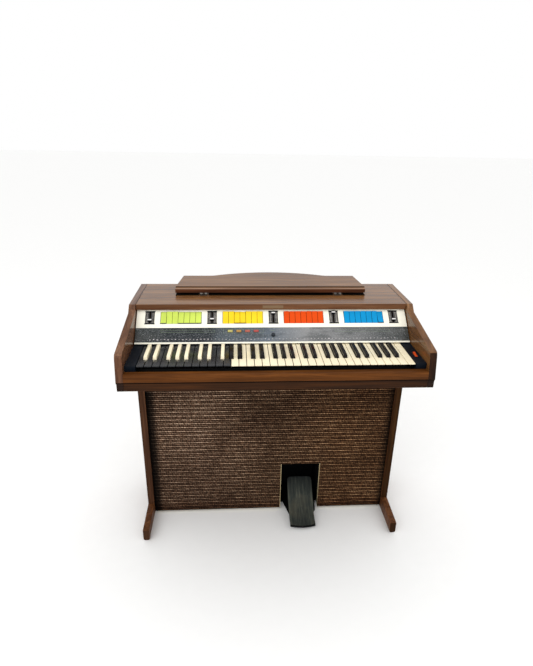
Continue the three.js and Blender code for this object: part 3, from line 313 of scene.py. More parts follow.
def cloth_tones_and_shade(tree, axes, patches):
    """Tones multiplied over the cloth: random clouds, painted shade that makes it darker and warmer towards
    the right, painted shade along both legs, and darker towards its foot.
    """
    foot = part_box("grille_cloth")[0].z
    return (
        ramp(tree, patches, (0.32, (0.6, 0.56, 0.53)), (0.68, (1.1, 1.08, 1.06))),
        # Painted shade: darker and warmer towards the right.
        ramp(tree, between(tree, axes["X"], -0.25, 0.25),
             (0.0, (1.06, 0.98, 0.93)), (0.6, (0.77, 0.66, 0.54)), (1.0, (0.77, 0.59, 0.41))),
        # Painted shade along the left and the right leg.
        fade(tree, between(tree, axes["X"], -0.44, -0.405), (0.0, 0.02), (0.45, 0.16), (1.0, 1)),
        fade(tree, between(tree, axes["X"], 0.443, 0.415), (0.0, 0.1), (1.0, 1)),
        ramp(tree, between(tree, axes["Z"], foot, foot + 0.05),
             (0.0, (0.3, 0.24, 0.2)), (0.5, (0.72, 0.62, 0.58)), (1.0, (1, 1, 1))),
    )


def cloth():
    """Grille cloth: dotted tan rows over a dark brown weave with upright threads."""
    material, tree, shader, place = new_material("grille_cloth_brown", 0.95, specular=0.05)
    axes = axes_of(tree, place)
    across = times(tree, axes["X"], 2 * math.pi / (CLOTH_FLOAT * METRES))
    wave, lit = cloth_rows(tree, place, axes, across)
    threads = between(tree, math_node(tree, "SINE", times(tree, across, 1.31)), -0.3, 0.9)
    weave = noise(tree, stretched(tree, place, (150.0, 150.0, 230.0)), 1.0, 2.0, 0.7)
    ground = ramp(
        tree, weave, (0.36, linear(9, 4, 2)), (0.52, linear(33, 20, 13)), (0.7, linear(108, 82, 64)))
    upright = mix(tree, times(tree, threads, 0.3), ground, linear(112, 86, 70))
    gloom = between(tree, math_node(tree, "ABSOLUTE", wave), 0.7, 0.1)
    banded = mix(tree, times(tree, gloom, 0.72), upright, linear(24, 13, 8))
    yarn = ramp(tree, weave, (0.35, linear(150, 124, 102)), (0.65, linear(250, 228, 202)))
    patches = noise(tree, place, 3.2, 3.0)
    tinted = mix(tree, times(tree, lit, between(tree, patches, -0.15, 0.6)), banded, yarn)
    for shade in cloth_tones_and_shade(tree, axes, patches):
        tinted = mix(tree, 1.0, tinted, shade, "MULTIPLY")
    tree.links.new(tinted, shader.inputs["Base Color"])
    bump(tree, shader, math_node(tree, "ADD", times(tree, threads, 0.3), lit), 0.6, 0.001)
    return material


def ribbed_rubber():
    """Grey rubber, scuffed along its ribs, dusty in patches, and darker towards the top of the pedal with
    painted shade, where it lies inside the housing.
    """
    material, tree, shader, place = new_material("pedal_rubber_grey", 0.75, specular=0.12)
    axes = axes_of(tree, place)
    scuffs = noise(tree, stretched(tree, place, (110.0, 8.0, 8.0)), 1.0, 5.0, 0.7)
    dust = noise(tree, place, 14.0, 4.0)
    base = ramp(
        tree, scuffs, (0.3, linear(38, 42, 41)), (0.55, linear(62, 66, 61)), (0.72, linear(98, 98, 86)))
    worn = mix(tree, fade(tree, dust, (0.5, 0), (0.75, 0.4)), base, linear(108, 102, 84))
    # Painted shade: the rubber darkens towards the toe, which lies inside the housing.
    toe_shade = ramp(
        tree, between(tree, axes["Z"], 0.118, 0.066), (0.0, (0.2, 0.23, 0.26)), (1.0, (1.0, 1.0, 1.0)))
    feed(tree, shader, mix(tree, 1.0, worn, toe_shade, "MULTIPLY"), spread(tree, scuffs, 0.6, 0.85))
    bump(tree, shader, noise(tree, place, 700.0, 2.0), 0.2, 0.0004)
    return material


# Tones of the smoked strip, as (share of its width from the left, colour): its dark tint, with painted
# reflection that makes it greyer past the middle.
ACRYLIC_TONES = (
    (0.0, (60, 62, 60)), (0.08, (52, 55, 55)), (0.12, (28, 33, 37)), (0.27, (28, 33, 38)),
    (0.3, (66, 74, 80)), (0.48, (90, 100, 110)), (0.62, (136, 136, 136)), (0.74, (120, 120, 120)),
    (0.86, (94, 95, 95)), (1.0, (60, 62, 58)),
)


def smoked_acrylic():
    """Smoked strip: a dark tint, with painted reflection that makes it greyer past the middle; dark near its
    left end, blotted and finely specked.
    """
    material, tree, shader, place = new_material("smoked_acrylic", 0.08, specular=0.3)
    axes = axes_of(tree, place)
    flecks = noise(tree, place, 330.0, 3.0, 0.7)
    blots = noise(tree, stretched(tree, place, (9.0, 30.0, 30.0)), 1.0, 3.0, 0.6)
    tones = [(share, linear(*tone)) for share, tone in ACRYLIC_TONES]
    # Painted reflection: the tint grows greyer past the middle.
    tint = ramp(tree, between(tree, axes["X"], -0.46, 0.46), *tones)
    blotted = mix(tree, fade(tree, blots, (0.44, 0), (0.6, 0.55)), tint, linear(36, 42, 42))
    specked = mix(tree, fade(tree, flecks, (0.53, 0), (0.7, 0.6)), blotted, linear(168, 172, 176))
    feed(tree, shader, specked, spread(tree, flecks, 0.06, 0.14))
    return material


# Woods: axis of the grain, tones from dark to light, range of roughness, and specular level.
# Most walnut entries are copies of one walnut in other tones, painting light and shade on the faces given
# them: painted shade on the tray, the tray sides' fronts, the rail, the leg fronts, the side ends and the
# lip's front, and painted light on the lip's sloped top, the top board's front edge and the left side.
WALNUT = ((80, 47, 20), (116, 76, 38), (150, 106, 60))
SHADED = ((33, 16, 4), (59, 31, 8), (84, 47, 16))
WOODS = {
    "walnut_x": ("X", WALNUT, (0.16, 0.26), 0.4),
    "walnut_left_side": ("Y", ((74, 43, 25), (107, 71, 47), (140, 100, 73)), (0.16, 0.26), 0.3),
    "walnut_right_side": ("Y", WALNUT, (0.16, 0.26), 0.4),
    "walnut_front_shade_x": ("X", ((54, 26, 5), (89, 49, 14), (122, 71, 28)), (0.4, 0.55), 0.08),
    "walnut_left_end": ("Z", ((70, 40, 24), (102, 67, 46), (134, 96, 72)), (0.35, 0.5), 0.15),
    "walnut_right_end": ("Z", ((24, 10, 2), (43, 20, 4), (62, 34, 10)), (0.4, 0.55), 0.1),
    "walnut_edging_light_x": ("X", ((80, 48, 29), (111, 74, 48), (138, 98, 68)), (0.35, 0.5), 0.1),
    "walnut_lip_front_shade_x": ("X", ((56, 28, 14), (92, 52, 31), (116, 70, 44)), (0.35, 0.5), 0.1),
    "walnut_lip_top_light_x": ("X", ((104, 76, 56), (136, 106, 84), (160, 130, 108)), (0.35, 0.5), 0.2),
    "walnut_shaded_x": ("X", SHADED, (0.45, 0.6), 0.1),
    "walnut_shaded_y": ("Y", SHADED, (0.45, 0.6), 0.1),
    "walnut_leg": ("Z", ((60, 32, 14), (94, 57, 31), (124, 79, 48)), (0.4, 0.55), 0.1),
    "walnut_leg_front_left": ("Z", ((45, 26, 14), (73, 46, 30), (99, 67, 47)), (0.4, 0.55), 0.05),
    "walnut_leg_front_right": ("Z", ((32, 16, 3), (51, 28, 7), (72, 45, 17)), (0.4, 0.55), 0.05),
    "walnut_tray_front_shade": ("X", ((26, 15, 10), (44, 28, 20), (62, 42, 32)), (0.45, 0.6), 0.08),
    "hardboard": ("X", ((98, 70, 44), (124, 92, 62), (142, 108, 76)), (0.7, 0.85), 0.1),
    "bare_board": ("X", ((188, 164, 120), (226, 208, 162), (242, 228, 190)), (0.7, 0.85), 0.1),
}

# Plastics, paints and prints: tone, roughness, specular level, and some with their shade and grain.
PLASTICS = {
    "black_natural": ((27, 30, 35), 0.2, 0.42),
    "black_sharp": ((12, 7, 7), 0.24, 0.12),
    "cream_key": ((255, 241, 208), 0.16, 0.3, 0.025),
    "key_arm": ((14, 14, 14), 0.7, 0.05),
    "black_trim": ((6, 11, 18), 0.3, 0.2),
    # Cheek blocks: black, tinted blue for a painted sheen.
    "cheek_black": ((12, 19, 28), 0.4, 0.08),
    # Black for strips that paint the shade in gaps and under the music rest's lip.
    "painted_shadow_black": ((16, 11, 8), 0.9, 0.02),
    "knob_slate": ((44, 50, 56), 0.4, 0.2),
    "cream_panel": ((254, 251, 235), 0.42, 0.15, 0.01),
    "window_plate": ((28, 28, 30), 0.6, 0.05),
    "scale_grey": ((82, 80, 78), 0.6, 0.05, 0.2),
    "white_mark": ((236, 234, 230), 0.5, 0.1, 0.02),
    "grey_mark": ((188, 184, 176), 0.5, 0.1, 0.25),
    "tick_mark": ((206, 198, 200), 0.4, 0.1, 0.3),
    "green_mark": ((124, 140, 112), 0.4, 0.1, 0.05),
    # Tab faces, each with a darker side tone that paints the shade on the tabs' sides, ends and undersides.
    "green_tab": ((208, 229, 98), 0.4, 0.12, 0.04),
    "green_tab_side": ((58, 78, 12), 0.5, 0.05, 0.04),
    "yellow_tab": ((253, 215, 38), 0.4, 0.12, 0.04),
    "yellow_tab_side": ((132, 92, 4), 0.5, 0.05, 0.04),
    "orange_tab": ((228, 76, 8), 0.4, 0.12, 0.04),
    "orange_tab_side": ((120, 26, 4), 0.5, 0.05, 0.04),
    "blue_tab": ((2, 146, 206), 0.4, 0.12, 0.04),
    "blue_tab_side": ((2, 70, 112), 0.5, 0.05, 0.04),
    "button_yellow": ((186, 176, 106), 0.3, 0.2),
    "button_orange": ((180, 136, 74), 0.3, 0.2),
    "button_pink": ((182, 100, 84), 0.3, 0.2),
    "button_red": ((176, 82, 76), 0.3, 0.2),
    "rocker_orange": ((204, 74, 26), 0.35, 0.15),
    "black_steel": ((5, 6, 7), 0.7, 0.12),
    "buffer_rubber": ((30, 30, 30), 0.8, 0.2),
    "circuit_green": ((40, 96, 54), 0.45, 0.5),
    "paper_cone": ((38, 36, 34), 0.9, 0.2),
    "floor_paint": ((252, 252, 251), 0.8, 0.05, 0.004, 0.01),
}

# Metals: tone, roughness and metallic share.
METALS = {
    "hinge_steel": ((150, 146, 140), 0.4, 1.0),
    # Hinge bases: a darker copy of the hinge steel, painting the shade under the lip.
    "hinge_steel_shaded": ((58, 54, 50), 0.5, 0.6),
    "chassis_steel": ((32, 32, 32), 0.6, 0.6),
    "nameplate_brass": ((140, 114, 86), 0.5, 0.7),
}

# All finishes by name.
finishes = {
    **{name: wood(name, *values) for name, values in WOODS.items()},
    **{name: plastic(name, *values) for name, values in PLASTICS.items()},
    **{name: metal(name, *values) for name, values in METALS.items()},
    "smoked_acrylic": smoked_acrylic(),
    "grille_cloth_brown": cloth(),
    "pedal_rubber_grey": ribbed_rubber(),
}


# Mesh helpers. Makers add faces to a bmesh in metres, and finish_piece turns it into a riding object.


def prism(bm, outline, low, high, place):
    """A closed prism: outline holds (a, b), and place turns (a, b, c) into a point, with c from low to high.

    Its faces are the two ends, low and then high, and one for each side of the outline in turn.
    """
    return loft(bm, [[place(a, b, c) for a, b in outline] for c in (low, high)])


def loft(bm, rings):
    """A closed skin over rings of as many points. Its first two faces cap the first and the last ring."""
    made = [[bm.verts.new(point) for point in ring] for ring in rings]
    count = len(made[0])
    faces = [bm.faces.new(made[0][::-1]), bm.faces.new(made[-1])]
    for near, far in zip(made, made[1:]):
        for i in range(count):
            j = (i + 1) % count
            faces.append(bm.faces.new((near[i], near[j], far[j], far[i])))
    return faces


def box_in(bm, low, high, place=at):
    """A closed box between two corners in the given place function's own axes."""
    outline = [(low[0], low[1]), (high[0], low[1]), (high[0], high[1]), (low[0], high[1])]
    return prism(bm, outline, low[2], high[2], place)


def paint(faces, index):
    for face in faces:
        face.material_index = index


def round_edges(piece, width, segments):
    bevel = piece.modifiers.new("edges", "BEVEL")
    bevel.width = width * METRES
    bevel.segments = segments
    bevel.limit_method = "ANGLE"
    bevel.angle_limit = math.radians(35.0)
    bevel.harden_normals = False


def smooth_faces(mesh):
    for polygon in mesh.polygons:
        polygon.use_smooth = True
    mesh.set_sharp_from_angle(angle=math.radians(40.0))


def add_object(name, data):
    made = bpy.data.objects.new(name, data)
    bpy.context.scene.collection.objects.link(made)
    return made


def mesh_object(name, bm, *materials):
    mesh = bpy.data.meshes.new(name)
    bm.to_mesh(mesh)
    bm.free()
    for material in materials:
        mesh.materials.append(finishes[material])
    return add_object(name, mesh)


def finish_piece(name, bm, materials, body="console", replaces=(), edge=0, segments=3):
    """Turns the bmesh into an object that rides on a body. edge is its rounding in millimetres."""
    bmesh.ops.recalc_face_normals(bm, faces=bm.faces)
    piece = mesh_object(name, bm, *([materials] if isinstance(materials, str) else materials))
    smooth_faces(piece.data)
    if edge:
        round_edges(piece, edge, segments)
    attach(piece, body)
    if replaces:
        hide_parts(*replaces)
    return piece


def dressed(node, material, edge=1.2, segments=3, body="console", facing=None, shape=None):
    """The CAD node's own shape with rounded edges, standing for the node.

    facing is the finish of the faces that look at the player, a copy of the wood in another tone that paints
    the light and shade on them, and shape a function that forms the mesh more.
    """
    bm = bmesh.new()
    bm.from_mesh(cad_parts[node].data)
    bmesh.ops.remove_doubles(bm, verts=bm.verts, dist=0.00001)
    bmesh.ops.dissolve_limit(bm, angle_limit=math.radians(0.5), verts=bm.verts, edges=bm.edges)
    for face in bm.faces:
        face.normal_update()
        face.material_index = 1 if facing and face.normal.y < -0.85 else 0
    if shape:
        shape(bm)
    materials = [material, facing] if facing else material
    return finish_piece(node + "_dressed", bm, materials, body, (node,), edge, segments)


def bisect(bm, place, normal, **options):
    """Cuts the mesh through by a plane."""
    return bmesh.ops.bisect_plane(
        bm, geom=[*bm.verts, *bm.edges, *bm.faces], plane_co=place, plane_no=normal, **options)


def round_sole(bm):
    """Rounds the underside of a foot across its thickness."""
    middle = sum(vert.co.x for vert in bm.verts) / len(bm.verts)
    bmesh.ops.triangulate(bm, faces=bm.faces)
    for height in (0.4, 1.2, 2.4, 4.2, 6.8, SOLE_RADIUS):
        bisect(bm, (0, 0, height * METRES), (0, 0, 1))
    for vert in bm.verts:
        height = vert.co.z / METRES
        if height < SOLE_RADIUS:
            inward = (SOLE_RADIUS - math.sqrt(SOLE_RADIUS ** 2 - (SOLE_RADIUS - height) ** 2)) * METRES
            vert.co.x += inward if vert.co.x < middle else -inward


def along_pedal(angle):
    """The direction from the pedal's heel to its toe, where the tread slopes by the given angle."""
    slope = math.radians(angle)
    return Vector((0, math.cos(slope), math.sin(slope)))


def round_toe(bm, near_end=0.02):
    """Rounds the pedal's two far corners. Its width there is measured within near_end of the toe."""
    tangent = along_pedal(PEDAL_TOE)
    reach = max(vert.co.dot(tangent) for vert in bm.verts)
    sides = [vert.co.x for vert in bm.verts if vert.co.dot(tangent) > reach - near_end]
    for side, edge in ((-1, min(sides)), (1, max(sides))):
        centre = Vector((edge - side * TOE_RADIUS * METRES, 0, 0)) + tangent * (reach - TOE_RADIUS * METRES)
        for degrees in (12, 34, 56, 78):
            angle = math.radians(degrees)
            outward = Vector((side * math.cos(angle), 0, 0)) + tangent * math.sin(angle)
            made = bisect(bm, centre + outward * TOE_RADIUS * METRES, outward, clear_outer=True)
            rim = [part for part in made["geom_cut"] if isinstance(part, bmesh.types.BMEdge)]
            if rim:
                bmesh.ops.edgeloop_fill(bm, edges=rim)


def bow_heel(bm, near_end=0.004):
    """Bows out what lies within near_end of the pedal's heel."""
    tangent = along_pedal(PEDAL_HEEL)
    limit = min(vert.co.dot(tangent) for vert in bm.verts) + near_end
    heel = [vert.co.x for vert in bm.verts if vert.co.dot(tangent) < limit]
    left, right = min(heel), max(heel)
    for share in (0.08, 0.18, 0.3, 0.42, 0.5, 0.58, 0.7, 0.82, 0.92):
        bisect(bm, (left + (right - left) * share, 0, 0), (1, 0, 0))
    for vert in bm.verts:
        if vert.co.dot(tangent) < limit:
            share = (vert.co.x - left) / (right - left)
            vert.co -= tangent * PEDAL_BOW * METRES * (1 - (2 * share - 1) ** 2)


def form_tread(bm):
    round_toe(bm)
    bow_heel(bm)


def panel_side(up, out, across):
    """Place of a prism that is seen from the panel's side."""
    return on_panel(across, -up, out)


def rest_side(back, out, across):
    """Place of a prism that is seen from the music rest's side."""
    return on_rest(across, back, out)


def screw(bm, centre, normal, radius=2.6, height=1.1):
    """A pan head."""
    turn = Vector(normal).to_track_quat("Z", "Y").to_matrix()
    angles = [2 * math.pi * i / 16 for i in range(16)]
    rings = []
    for share, rise in ((1.0, 0.0), (1.0, 0.35), (0.72, 0.85), (0.3, 1.0)):
        wide = radius * share
        rims = [Vector((wide * math.cos(angle), wide * math.sin(angle), height * rise)) for angle in angles]
        rings.append([at(*centre) + turn @ rim * METRES for rim in rims])
    loft(bm, rings)


# Case.


def build_case():
    for side in ("left", "right"):
        # The side ends, the tray sides' fronts and the leg fronts take darker copies of the wood: painted
        # shade.
        dressed(f"side_panel_{side}", f"walnut_{side}_side", 1.3, facing=f"walnut_{side}_end")
        dressed(f"tray_side_{side}", "walnut_shaded_y", 1.0, facing="walnut_tray_front_shade")
        dressed(f"leg_{side}", "walnut_leg", facing=f"walnut_leg_front_{side}", shape=round_sole)
        dressed(f"cheek_block_{side}", "cheek_black", 0.8)
    dressed("tray_board", "walnut_shaded_x")
    # The top board's front edge takes a copy toned for painted light, and the rail a darker copy for painted
    # shade.
    dressed("top_board", "walnut_x", 1.4, facing="walnut_edging_light_x")
    dressed("front_rail", "walnut_front_shade_x", 0.8)
    dressed("rear_cover", "walnut_x", 0.6, 2)
    dressed("lower_rear_cover", "hardboard", 0.4, 2)
    dressed("grille_board", "bare_board", 0.4, 2)
    build_cutout_edging()
    build_shadow_strips()
    build_back_screws()
    build_nameplate()


def build_cutout_edging():
    """A pale strip up the left side of the pedal cutout."""
    width, thickness, foot, top = 1.2, 0.6, 14.5, CUTOUT_TOP - 0.4
    bm = bmesh.new()
    box_in(bm, (CUTOUT_LEFT - width, CLOTH_FRONT - thickness, foot), (CUTOUT_LEFT, CLOTH_FRONT, top))
    finish_piece("cutout_edging", bm, "bare_board", edge=0.15, segments=2)


def build_shadow_strips():
    """Black strips in the gaps under the rail, beside the top board, and between the rest and its lip,
    painting the shade in those gaps.
    """
    bm = bmesh.new()
    rail_foot = case_box("front_rail")[0].z
    reach = case_box("side_panel_right")[1].x - 0.3
    box_in(bm, (-reach, 0.7, rail_foot - 0.8), (reach, 5.8, rail_foot + 2.4))
    low, high = case_box("top_board")
    for side in (-1, 1):
        left, right = sorted((side * (high.x - 0.9), side * (high.x + 1.6)))
        box_in(bm, (left, low.y + 0.6, low.z - 1.0), (right, high.y - 1.0, high.z - 0.2))
    finish_piece("case_shadow_strips", bm, "painted_shadow_black")
    bm = bmesh.new()
    reach = case_box("music_rest_lip")[1].x - 0.6
    box_in(bm, (-reach, 10.6, 8.2), (reach, 11.4, REST_TOP - 0.5), on_rest)
    finish_piece("rest_shadow_line", bm, "painted_shadow_black", "music_rest")


def build_back_screws():
    bm = bmesh.new()
    pitch = 215
    for step in (-2, -1, 0, 1, 2):
        for cover, heights in (("rear_cover", (706, 822)), ("lower_rear_cover", (40, 650))):
            for z in heights:
                screw(bm, (step * pitch, case_box(cover)[1].y, z), (0, 1, 0))
    finish_piece("cover_screws", bm, "hinge_steel")


def build_nameplate():
    """A bare plate on the top board's front edge."""
    front = case_box("top_board")[0].y
    bm = bmesh.new()
    box_in(bm, (-36.0, front - 1.0, 836.0), (34.0, front, 847.0))
    finish_piece("nameplate_bare", bm, "nameplate_brass", edge=0.4)


# Keyboard.


def sharp_places():
    """(natural on its left, middle) of every sharp, from the lowest note."""
    lower, upper = 3 * KEY_PITCH, 4 * KEY_PITCH
    middles = [0.3 * lower, 0.7 * lower] + [lower + share * upper for share in (0.214, 0.5, 0.786)]
    return [
        (octave * 7 + neighbour, octave * 7 * KEY_PITCH + middle - KEYBOARD_WIDTH / 2)
        for octave in range(KEY_COUNT // 7)
        for neighbour, middle in zip((0, 1, 3, 4, 5), middles)
    ]


def natural_sides(index):
    left = index * KEY_PITCH - KEYBOARD_WIDTH / 2 + KEY_GAP / 2
    return left, left + KEY_PITCH - KEY_GAP


def natural_outline(index, sharps, inset):
    """Outline of a natural's lip, drawn in by inset and notched beside its sharps."""
    left, right = natural_sides(index)
    left, right, front = left + inset, right - inset, KEY_FRONT + inset
    notch, shoulder = SHARP_BASE / 2 + 0.8 + inset, SHARP_FRONT - 1.2
    on_left = [middle + notch for neighbour, middle in sharps if neighbour == index - 1]
    on_right = [middle - notch for neighbour, middle in sharps if neighbour == index]
    points = [(left, front), (right, front)]
    for neck in on_right:
        points += [(right, shoulder), (neck, shoulder)]
    points += [((on_right or [right])[0], KEY_BACK), ((on_left or [left])[0], KEY_BACK)]
    for neck in on_left:
        points += [(neck, shoulder), (left, shoulder)]
    return points


def arm_middle(index, sharps, clearance=6.7):
    """Middle of the space that a natural's sharps leave to its arm."""
    sides = list(natural_sides(index))
    for neighbour, middle in sharps:
        if neighbour == index - 1:
            sides[0] = middle + clearance
        if neighbour == index:
            sides[1] = middle - clearance
    return sum(sides) / 2


def finish_keys(node, bm, colour, edge):
    """Keys of one colour, with dark arms."""
    finish_piece(f"{node}_keys", bm, [colour, "key_arm"], f"{node}_keys", (node,), edge)


def build_naturals():
    sharps = sharp_places()
    for name, first, last in KEY_GROUPS:
        bm = bmesh.new()
        for index in range(first, last):
            outline = natural_outline(index, sharps, 0.6 if name == "bass" else 0.5)
            prism(bm, outline, KEY_TOP - LIP_THICKNESS, KEY_TOP, at)
            middle = arm_middle(index, sharps)
            low = (middle - ARM_HALF, ARM_FRONT, ARM_FOOT)
            high = (middle + ARM_HALF, KEY_BACK - 1.0, KEY_TOP - LIP_THICKNESS - 0.1)
            paint(box_in(bm, low, high), 1)
        finish_keys(f"naturals_{name}", bm, "black_natural" if name == "bass" else "cream_key", 0.55)


def build_sharps():
    base, crest, tail = SHARP_BASE / 2, SHARP_CREST / 2, SHARP_TAIL / 2
    # Sections from the nose to the end: y, height of the top and half of its width.
    sections = (
        (SHARP_FRONT, SHARP_TOP - 9.0, base - 0.2), (SHARP_FRONT + 3.4, SHARP_TOP - 0.9, crest),
        (SHARP_FRONT + 6.5, SHARP_TOP, crest), (SHARP_END - 1.0, SHARP_TOP, crest),
        (SHARP_END, SHARP_TOP - 0.8, crest))
    for name, first, last in SHARP_GROUPS:
        bm = bmesh.new()
        for neighbour, middle in sharp_places():
            if first <= neighbour < last:
                loft(bm, [
                    [at(middle - base, y, SHARP_FOOT), at(middle + base, y, SHARP_FOOT),
                     at(middle + half, y, top), at(middle - half, y, top)]
                    for y, top, half in sections])
                arm = box_in(bm, (middle - tail, SHARP_END - 4.0, 729.5), (middle + tail, KEY_BACK, 736.6))
                paint(arm, 1)
        finish_keys(f"sharps_{name}", bm, "cream_key" if name == "bass" else "black_sharp", 0.9)


def build_rocker():
    """The power rocker, and a thin bezel round it on the cheek block."""
    dressed("power_rocker", "rocker_orange", 0.9, 3, "power_switch")
    left, front, right, back = 435.6, 72.4, 448.4, 107.6
    end, side = 1.8, 1.6
    foot = case_box("cheek_block_right")[1].z
    top = foot + 0.7
    bm = bmesh.new()
    box_in(bm, (left, front, foot), (right, front + end, top))
    box_in(bm, (left, back - end, foot), (right, back, top))
    box_in(bm, (left, front + end, foot), (left + side, back - end, top))
    box_in(bm, (right - side, front + end, foot), (right, back - end, top))
    finish_piece("rocker_bezel", bm, "black_trim", edge=0.25, segments=2)


# Control panel.


def tab_profile(end):
    """Side view of a tab about its pivot line, as (up, out): a dished face, and ends as deep as end."""
    reach, steps = TAB_LENGTH / 2, 10
    shares = [i / steps for i in range(steps + 1)]
    face = [(-reach + TAB_LENGTH * share, -TAB_DISH * (1 - (2 * share - 1) ** 2)) for share in shares]
    # A point near the low end, so that the narrow slope below it can take the painted shade on a raised tab.
    face.insert(1, (-reach + 1.3, -0.3))
    return face + [(reach, -end), (5.6, -4.0), (-5.6, -4.0), (-reach, -end)]


def build_tab_bank(node, bank, places, raised, colour):
    """Tabs of one bank that stand alike. Their sides, ends and undersides take a darker tone, painted shade
    in the gaps and under the ends, and so does the narrow slope at a raised tab's low end.
    """
    tilt = math.radians(-TAB_TILT if raised else TAB_TILT)
    cos, sin = math.cos(tilt), math.sin(tilt)
    profile = tab_profile(5.4 if raised else 3.0)
    outline = [(a * cos - b * sin - TAB_MIDDLE, a * sin + b * cos + TAB_LIFT) for a, b in profile]
    bm = bmesh.new()
    for place in places:
        middle = (bank - 1.5) * CONTROL_PITCH
        left = middle + (place - 1 - TAB_COUNT / 2) * TAB_PITCH + TAB_GAP / 2
        faces = prism(bm, outline, left, left + TAB_PITCH - TAB_GAP, panel_side)
        # Painted shade: a raised tab's narrow low-end slope takes the dark side tone.
        shaded_low_edge = faces[2:3] if raised else []
        paint(faces[:2] + faces[13:] + shaded_low_edge, 1)
    materials = [f"{colour}_tab", f"{colour}_tab_side"]
    finish_piece(f"{node}_faces", bm, materials, f"{node}_bank", (node,), 0.5)


def build_tabs():
    every = range(1, TAB_COUNT + 1)
    build_tab_bank("tabs_green_raised", 0, (1, 4, 5, 6, 7), True, "green")
    build_tab_bank("tabs_green_pressed", 0, (2, 3), False, "green")
    build_tab_bank("tabs_yellow_raised", 1, (3, 4), True, "yellow")
    build_tab_bank("tabs_yellow_pressed", 1, (1, 2, 5, 6, 7), False, "yellow")
    build_tab_bank("tabs_orange", 2, every, False, "orange")
    build_tab_bank("tabs_blue_pressed", 3, every[:6], False, "blue")
    build_tab_bank("tabs_blue_raised", 3, every[6:], True, "blue")


def window_box(bm, across, down, out):
    """A box on the panel, from three (start, end) pairs."""
    left, right = sorted(across)
    box_in(bm, (left, down[0], out[0]), (right, down[1], out[1]), on_panel)


def build_sliders():
    """Scale plates with ticks, bars over both ends of each window, linings and knobs."""
    plates, marks, bars, linings = (bmesh.new() for _ in range(4))
    top = WINDOW_MIDDLE - WINDOW_HEIGHT / 2
    bottom = top + WINDOW_HEIGHT
    half = WINDOW_WIDTH / 2
    for slider, share in enumerate(SLIDER_SHARES):
        middle = (slider - 2) * CONTROL_PITCH
        build_slider_knob(slider, middle, top + WINDOW_HEIGHT * share)
        for sign in (-1, 1):
            slot, edge = middle + sign * SLOT_HALF, middle + sign * half
            for down in (top, bottom - BAR_HEIGHT):
                window_box(bars, (slot, edge), (down, down + BAR_HEIGHT), (WINDOW_FLOOR, BAR_FACE))
            window_box(plates, (slot, edge - sign * 1.3), (top + BAR_HEIGHT, bottom - BAR_HEIGHT),
                       (WINDOW_FLOOR, PLATE_FACE))
            window_box(linings, (edge - sign * 1.1, edge), (top + 4.8, bottom - 4.8), (WINDOW_FLOOR, -0.05))
            for step in range(9):
                line = top + TICK_START + step * TICK_PITCH
                reach = 3.4 if step % 4 == 0 else 2.3
                tick = [middle + sign * (TICK_MIDDLE + offset) for offset in (-reach, reach)]
                window_box(marks, tick, (line, line + TICK_WIDTH), (PLATE_FACE, PLATE_FACE + 0.06))
    finish_piece("slider_scale_plates", plates, "scale_grey")
    finish_piece("slider_scales", marks, "grey_mark")
    finish_piece("slider_window_bars", bars, "black_trim")
    finish_piece("slider_window_linings", linings, "cream_panel")


def build_slider_knob(slider, middle, down):
    """A knob with a hollow top, a tongue through the slot and a white mark across."""
    bm = bmesh.new()
    half = [(4.5, 0.3), (3.8, 7.4), (2.9, 8.0), (1.4, 7.2)]
    profile = [(-4.5, 0.3), *half, *((-up, out) for up, out in half[:0:-1])]
    outline = [(up - down, out + WINDOW_FLOOR) for up, out in profile]
    prism(bm, outline, middle - 6.5, middle + 6.5, panel_side)
    box_in(bm, (middle - 1.7, down - 1.5, -10.4), (middle + 1.7, down + 1.5, -2.1), on_panel)
    paint(box_in(bm, (middle - 6.4, down - 2.2, 4.6), (middle + 6.4, down + 2.2, 5.3), on_panel), 1)
    node = f"slider_knob_{slider + 1}"
    materials = ["black_trim", "white_mark"]
    finish_piece(f"{node}_cap", bm, materials, f"slider_{slider + 1}", (node,), 0.4)


def build_buttons():
    for colour, _ in BUTTONS:
        dressed(f"push_button_{colour}", f"button_{colour}", 0.7, 3, f"button_{colour}")


def build_knob():
    """The rotary knob: a shaft, a grooved skirt and a top with a mark."""
    bm = bmesh.new()
    x, down = KNOB_PLACE
    sides, groove = 48, 0.2
    rings = []
    for radius, out in ((3.0, -7.0), (3.0, 0.3), (6.6, 0.3), (6.5, 1.6), (5.9, 7.9), (5.4, 8.8), (4.0, 9.0)):
        ring = []
        for i in range(sides):
            reach = radius - groove if radius > 5.8 and i % 2 and out > 0.5 else radius
            angle = 2 * math.pi * i / sides
            ring.append(on_panel(x + reach * math.cos(angle), down - reach * math.sin(angle), out))
        rings.append(ring)
    loft(bm, rings)
    paint(box_in(bm, (x - 0.4, down - 5.0, 8.7), (x + 0.4, down - 1.5, 9.0), on_panel), 1)
    materials = ["knob_slate", "grey_mark"]
    finish_piece("rotary_knob_cap", bm, materials, "rotary_control", ("rotary_knob",))


def build_panel():
    dressed("control_fascia", "cream_panel", 0.35, 2)
    dressed("slider_panel", "window_plate", 0.2, 2)
    dressed("glass_fascia", "smoked_acrylic", 0.3, 2)
    dressed("panel_trim", "cream_panel", 0.6)
    build_panel_marks()
    build_sliders()
    build_tabs()
    build_buttons()
    build_knob()


def line_box(bm, low, high, width):
    """A printed outline on the smoked strip, between two corners (across, down)."""
    half = width / 2
    for x in (low[0], high[0]):
        box_in(bm, (x - half, low[1], 0.0), (x + half, high[1], PRINT), on_panel)
    for down in (low[1], high[1]):
        box_in(bm, (low[0], down - half, 0.0), (high[0], down + half, PRINT), on_panel)


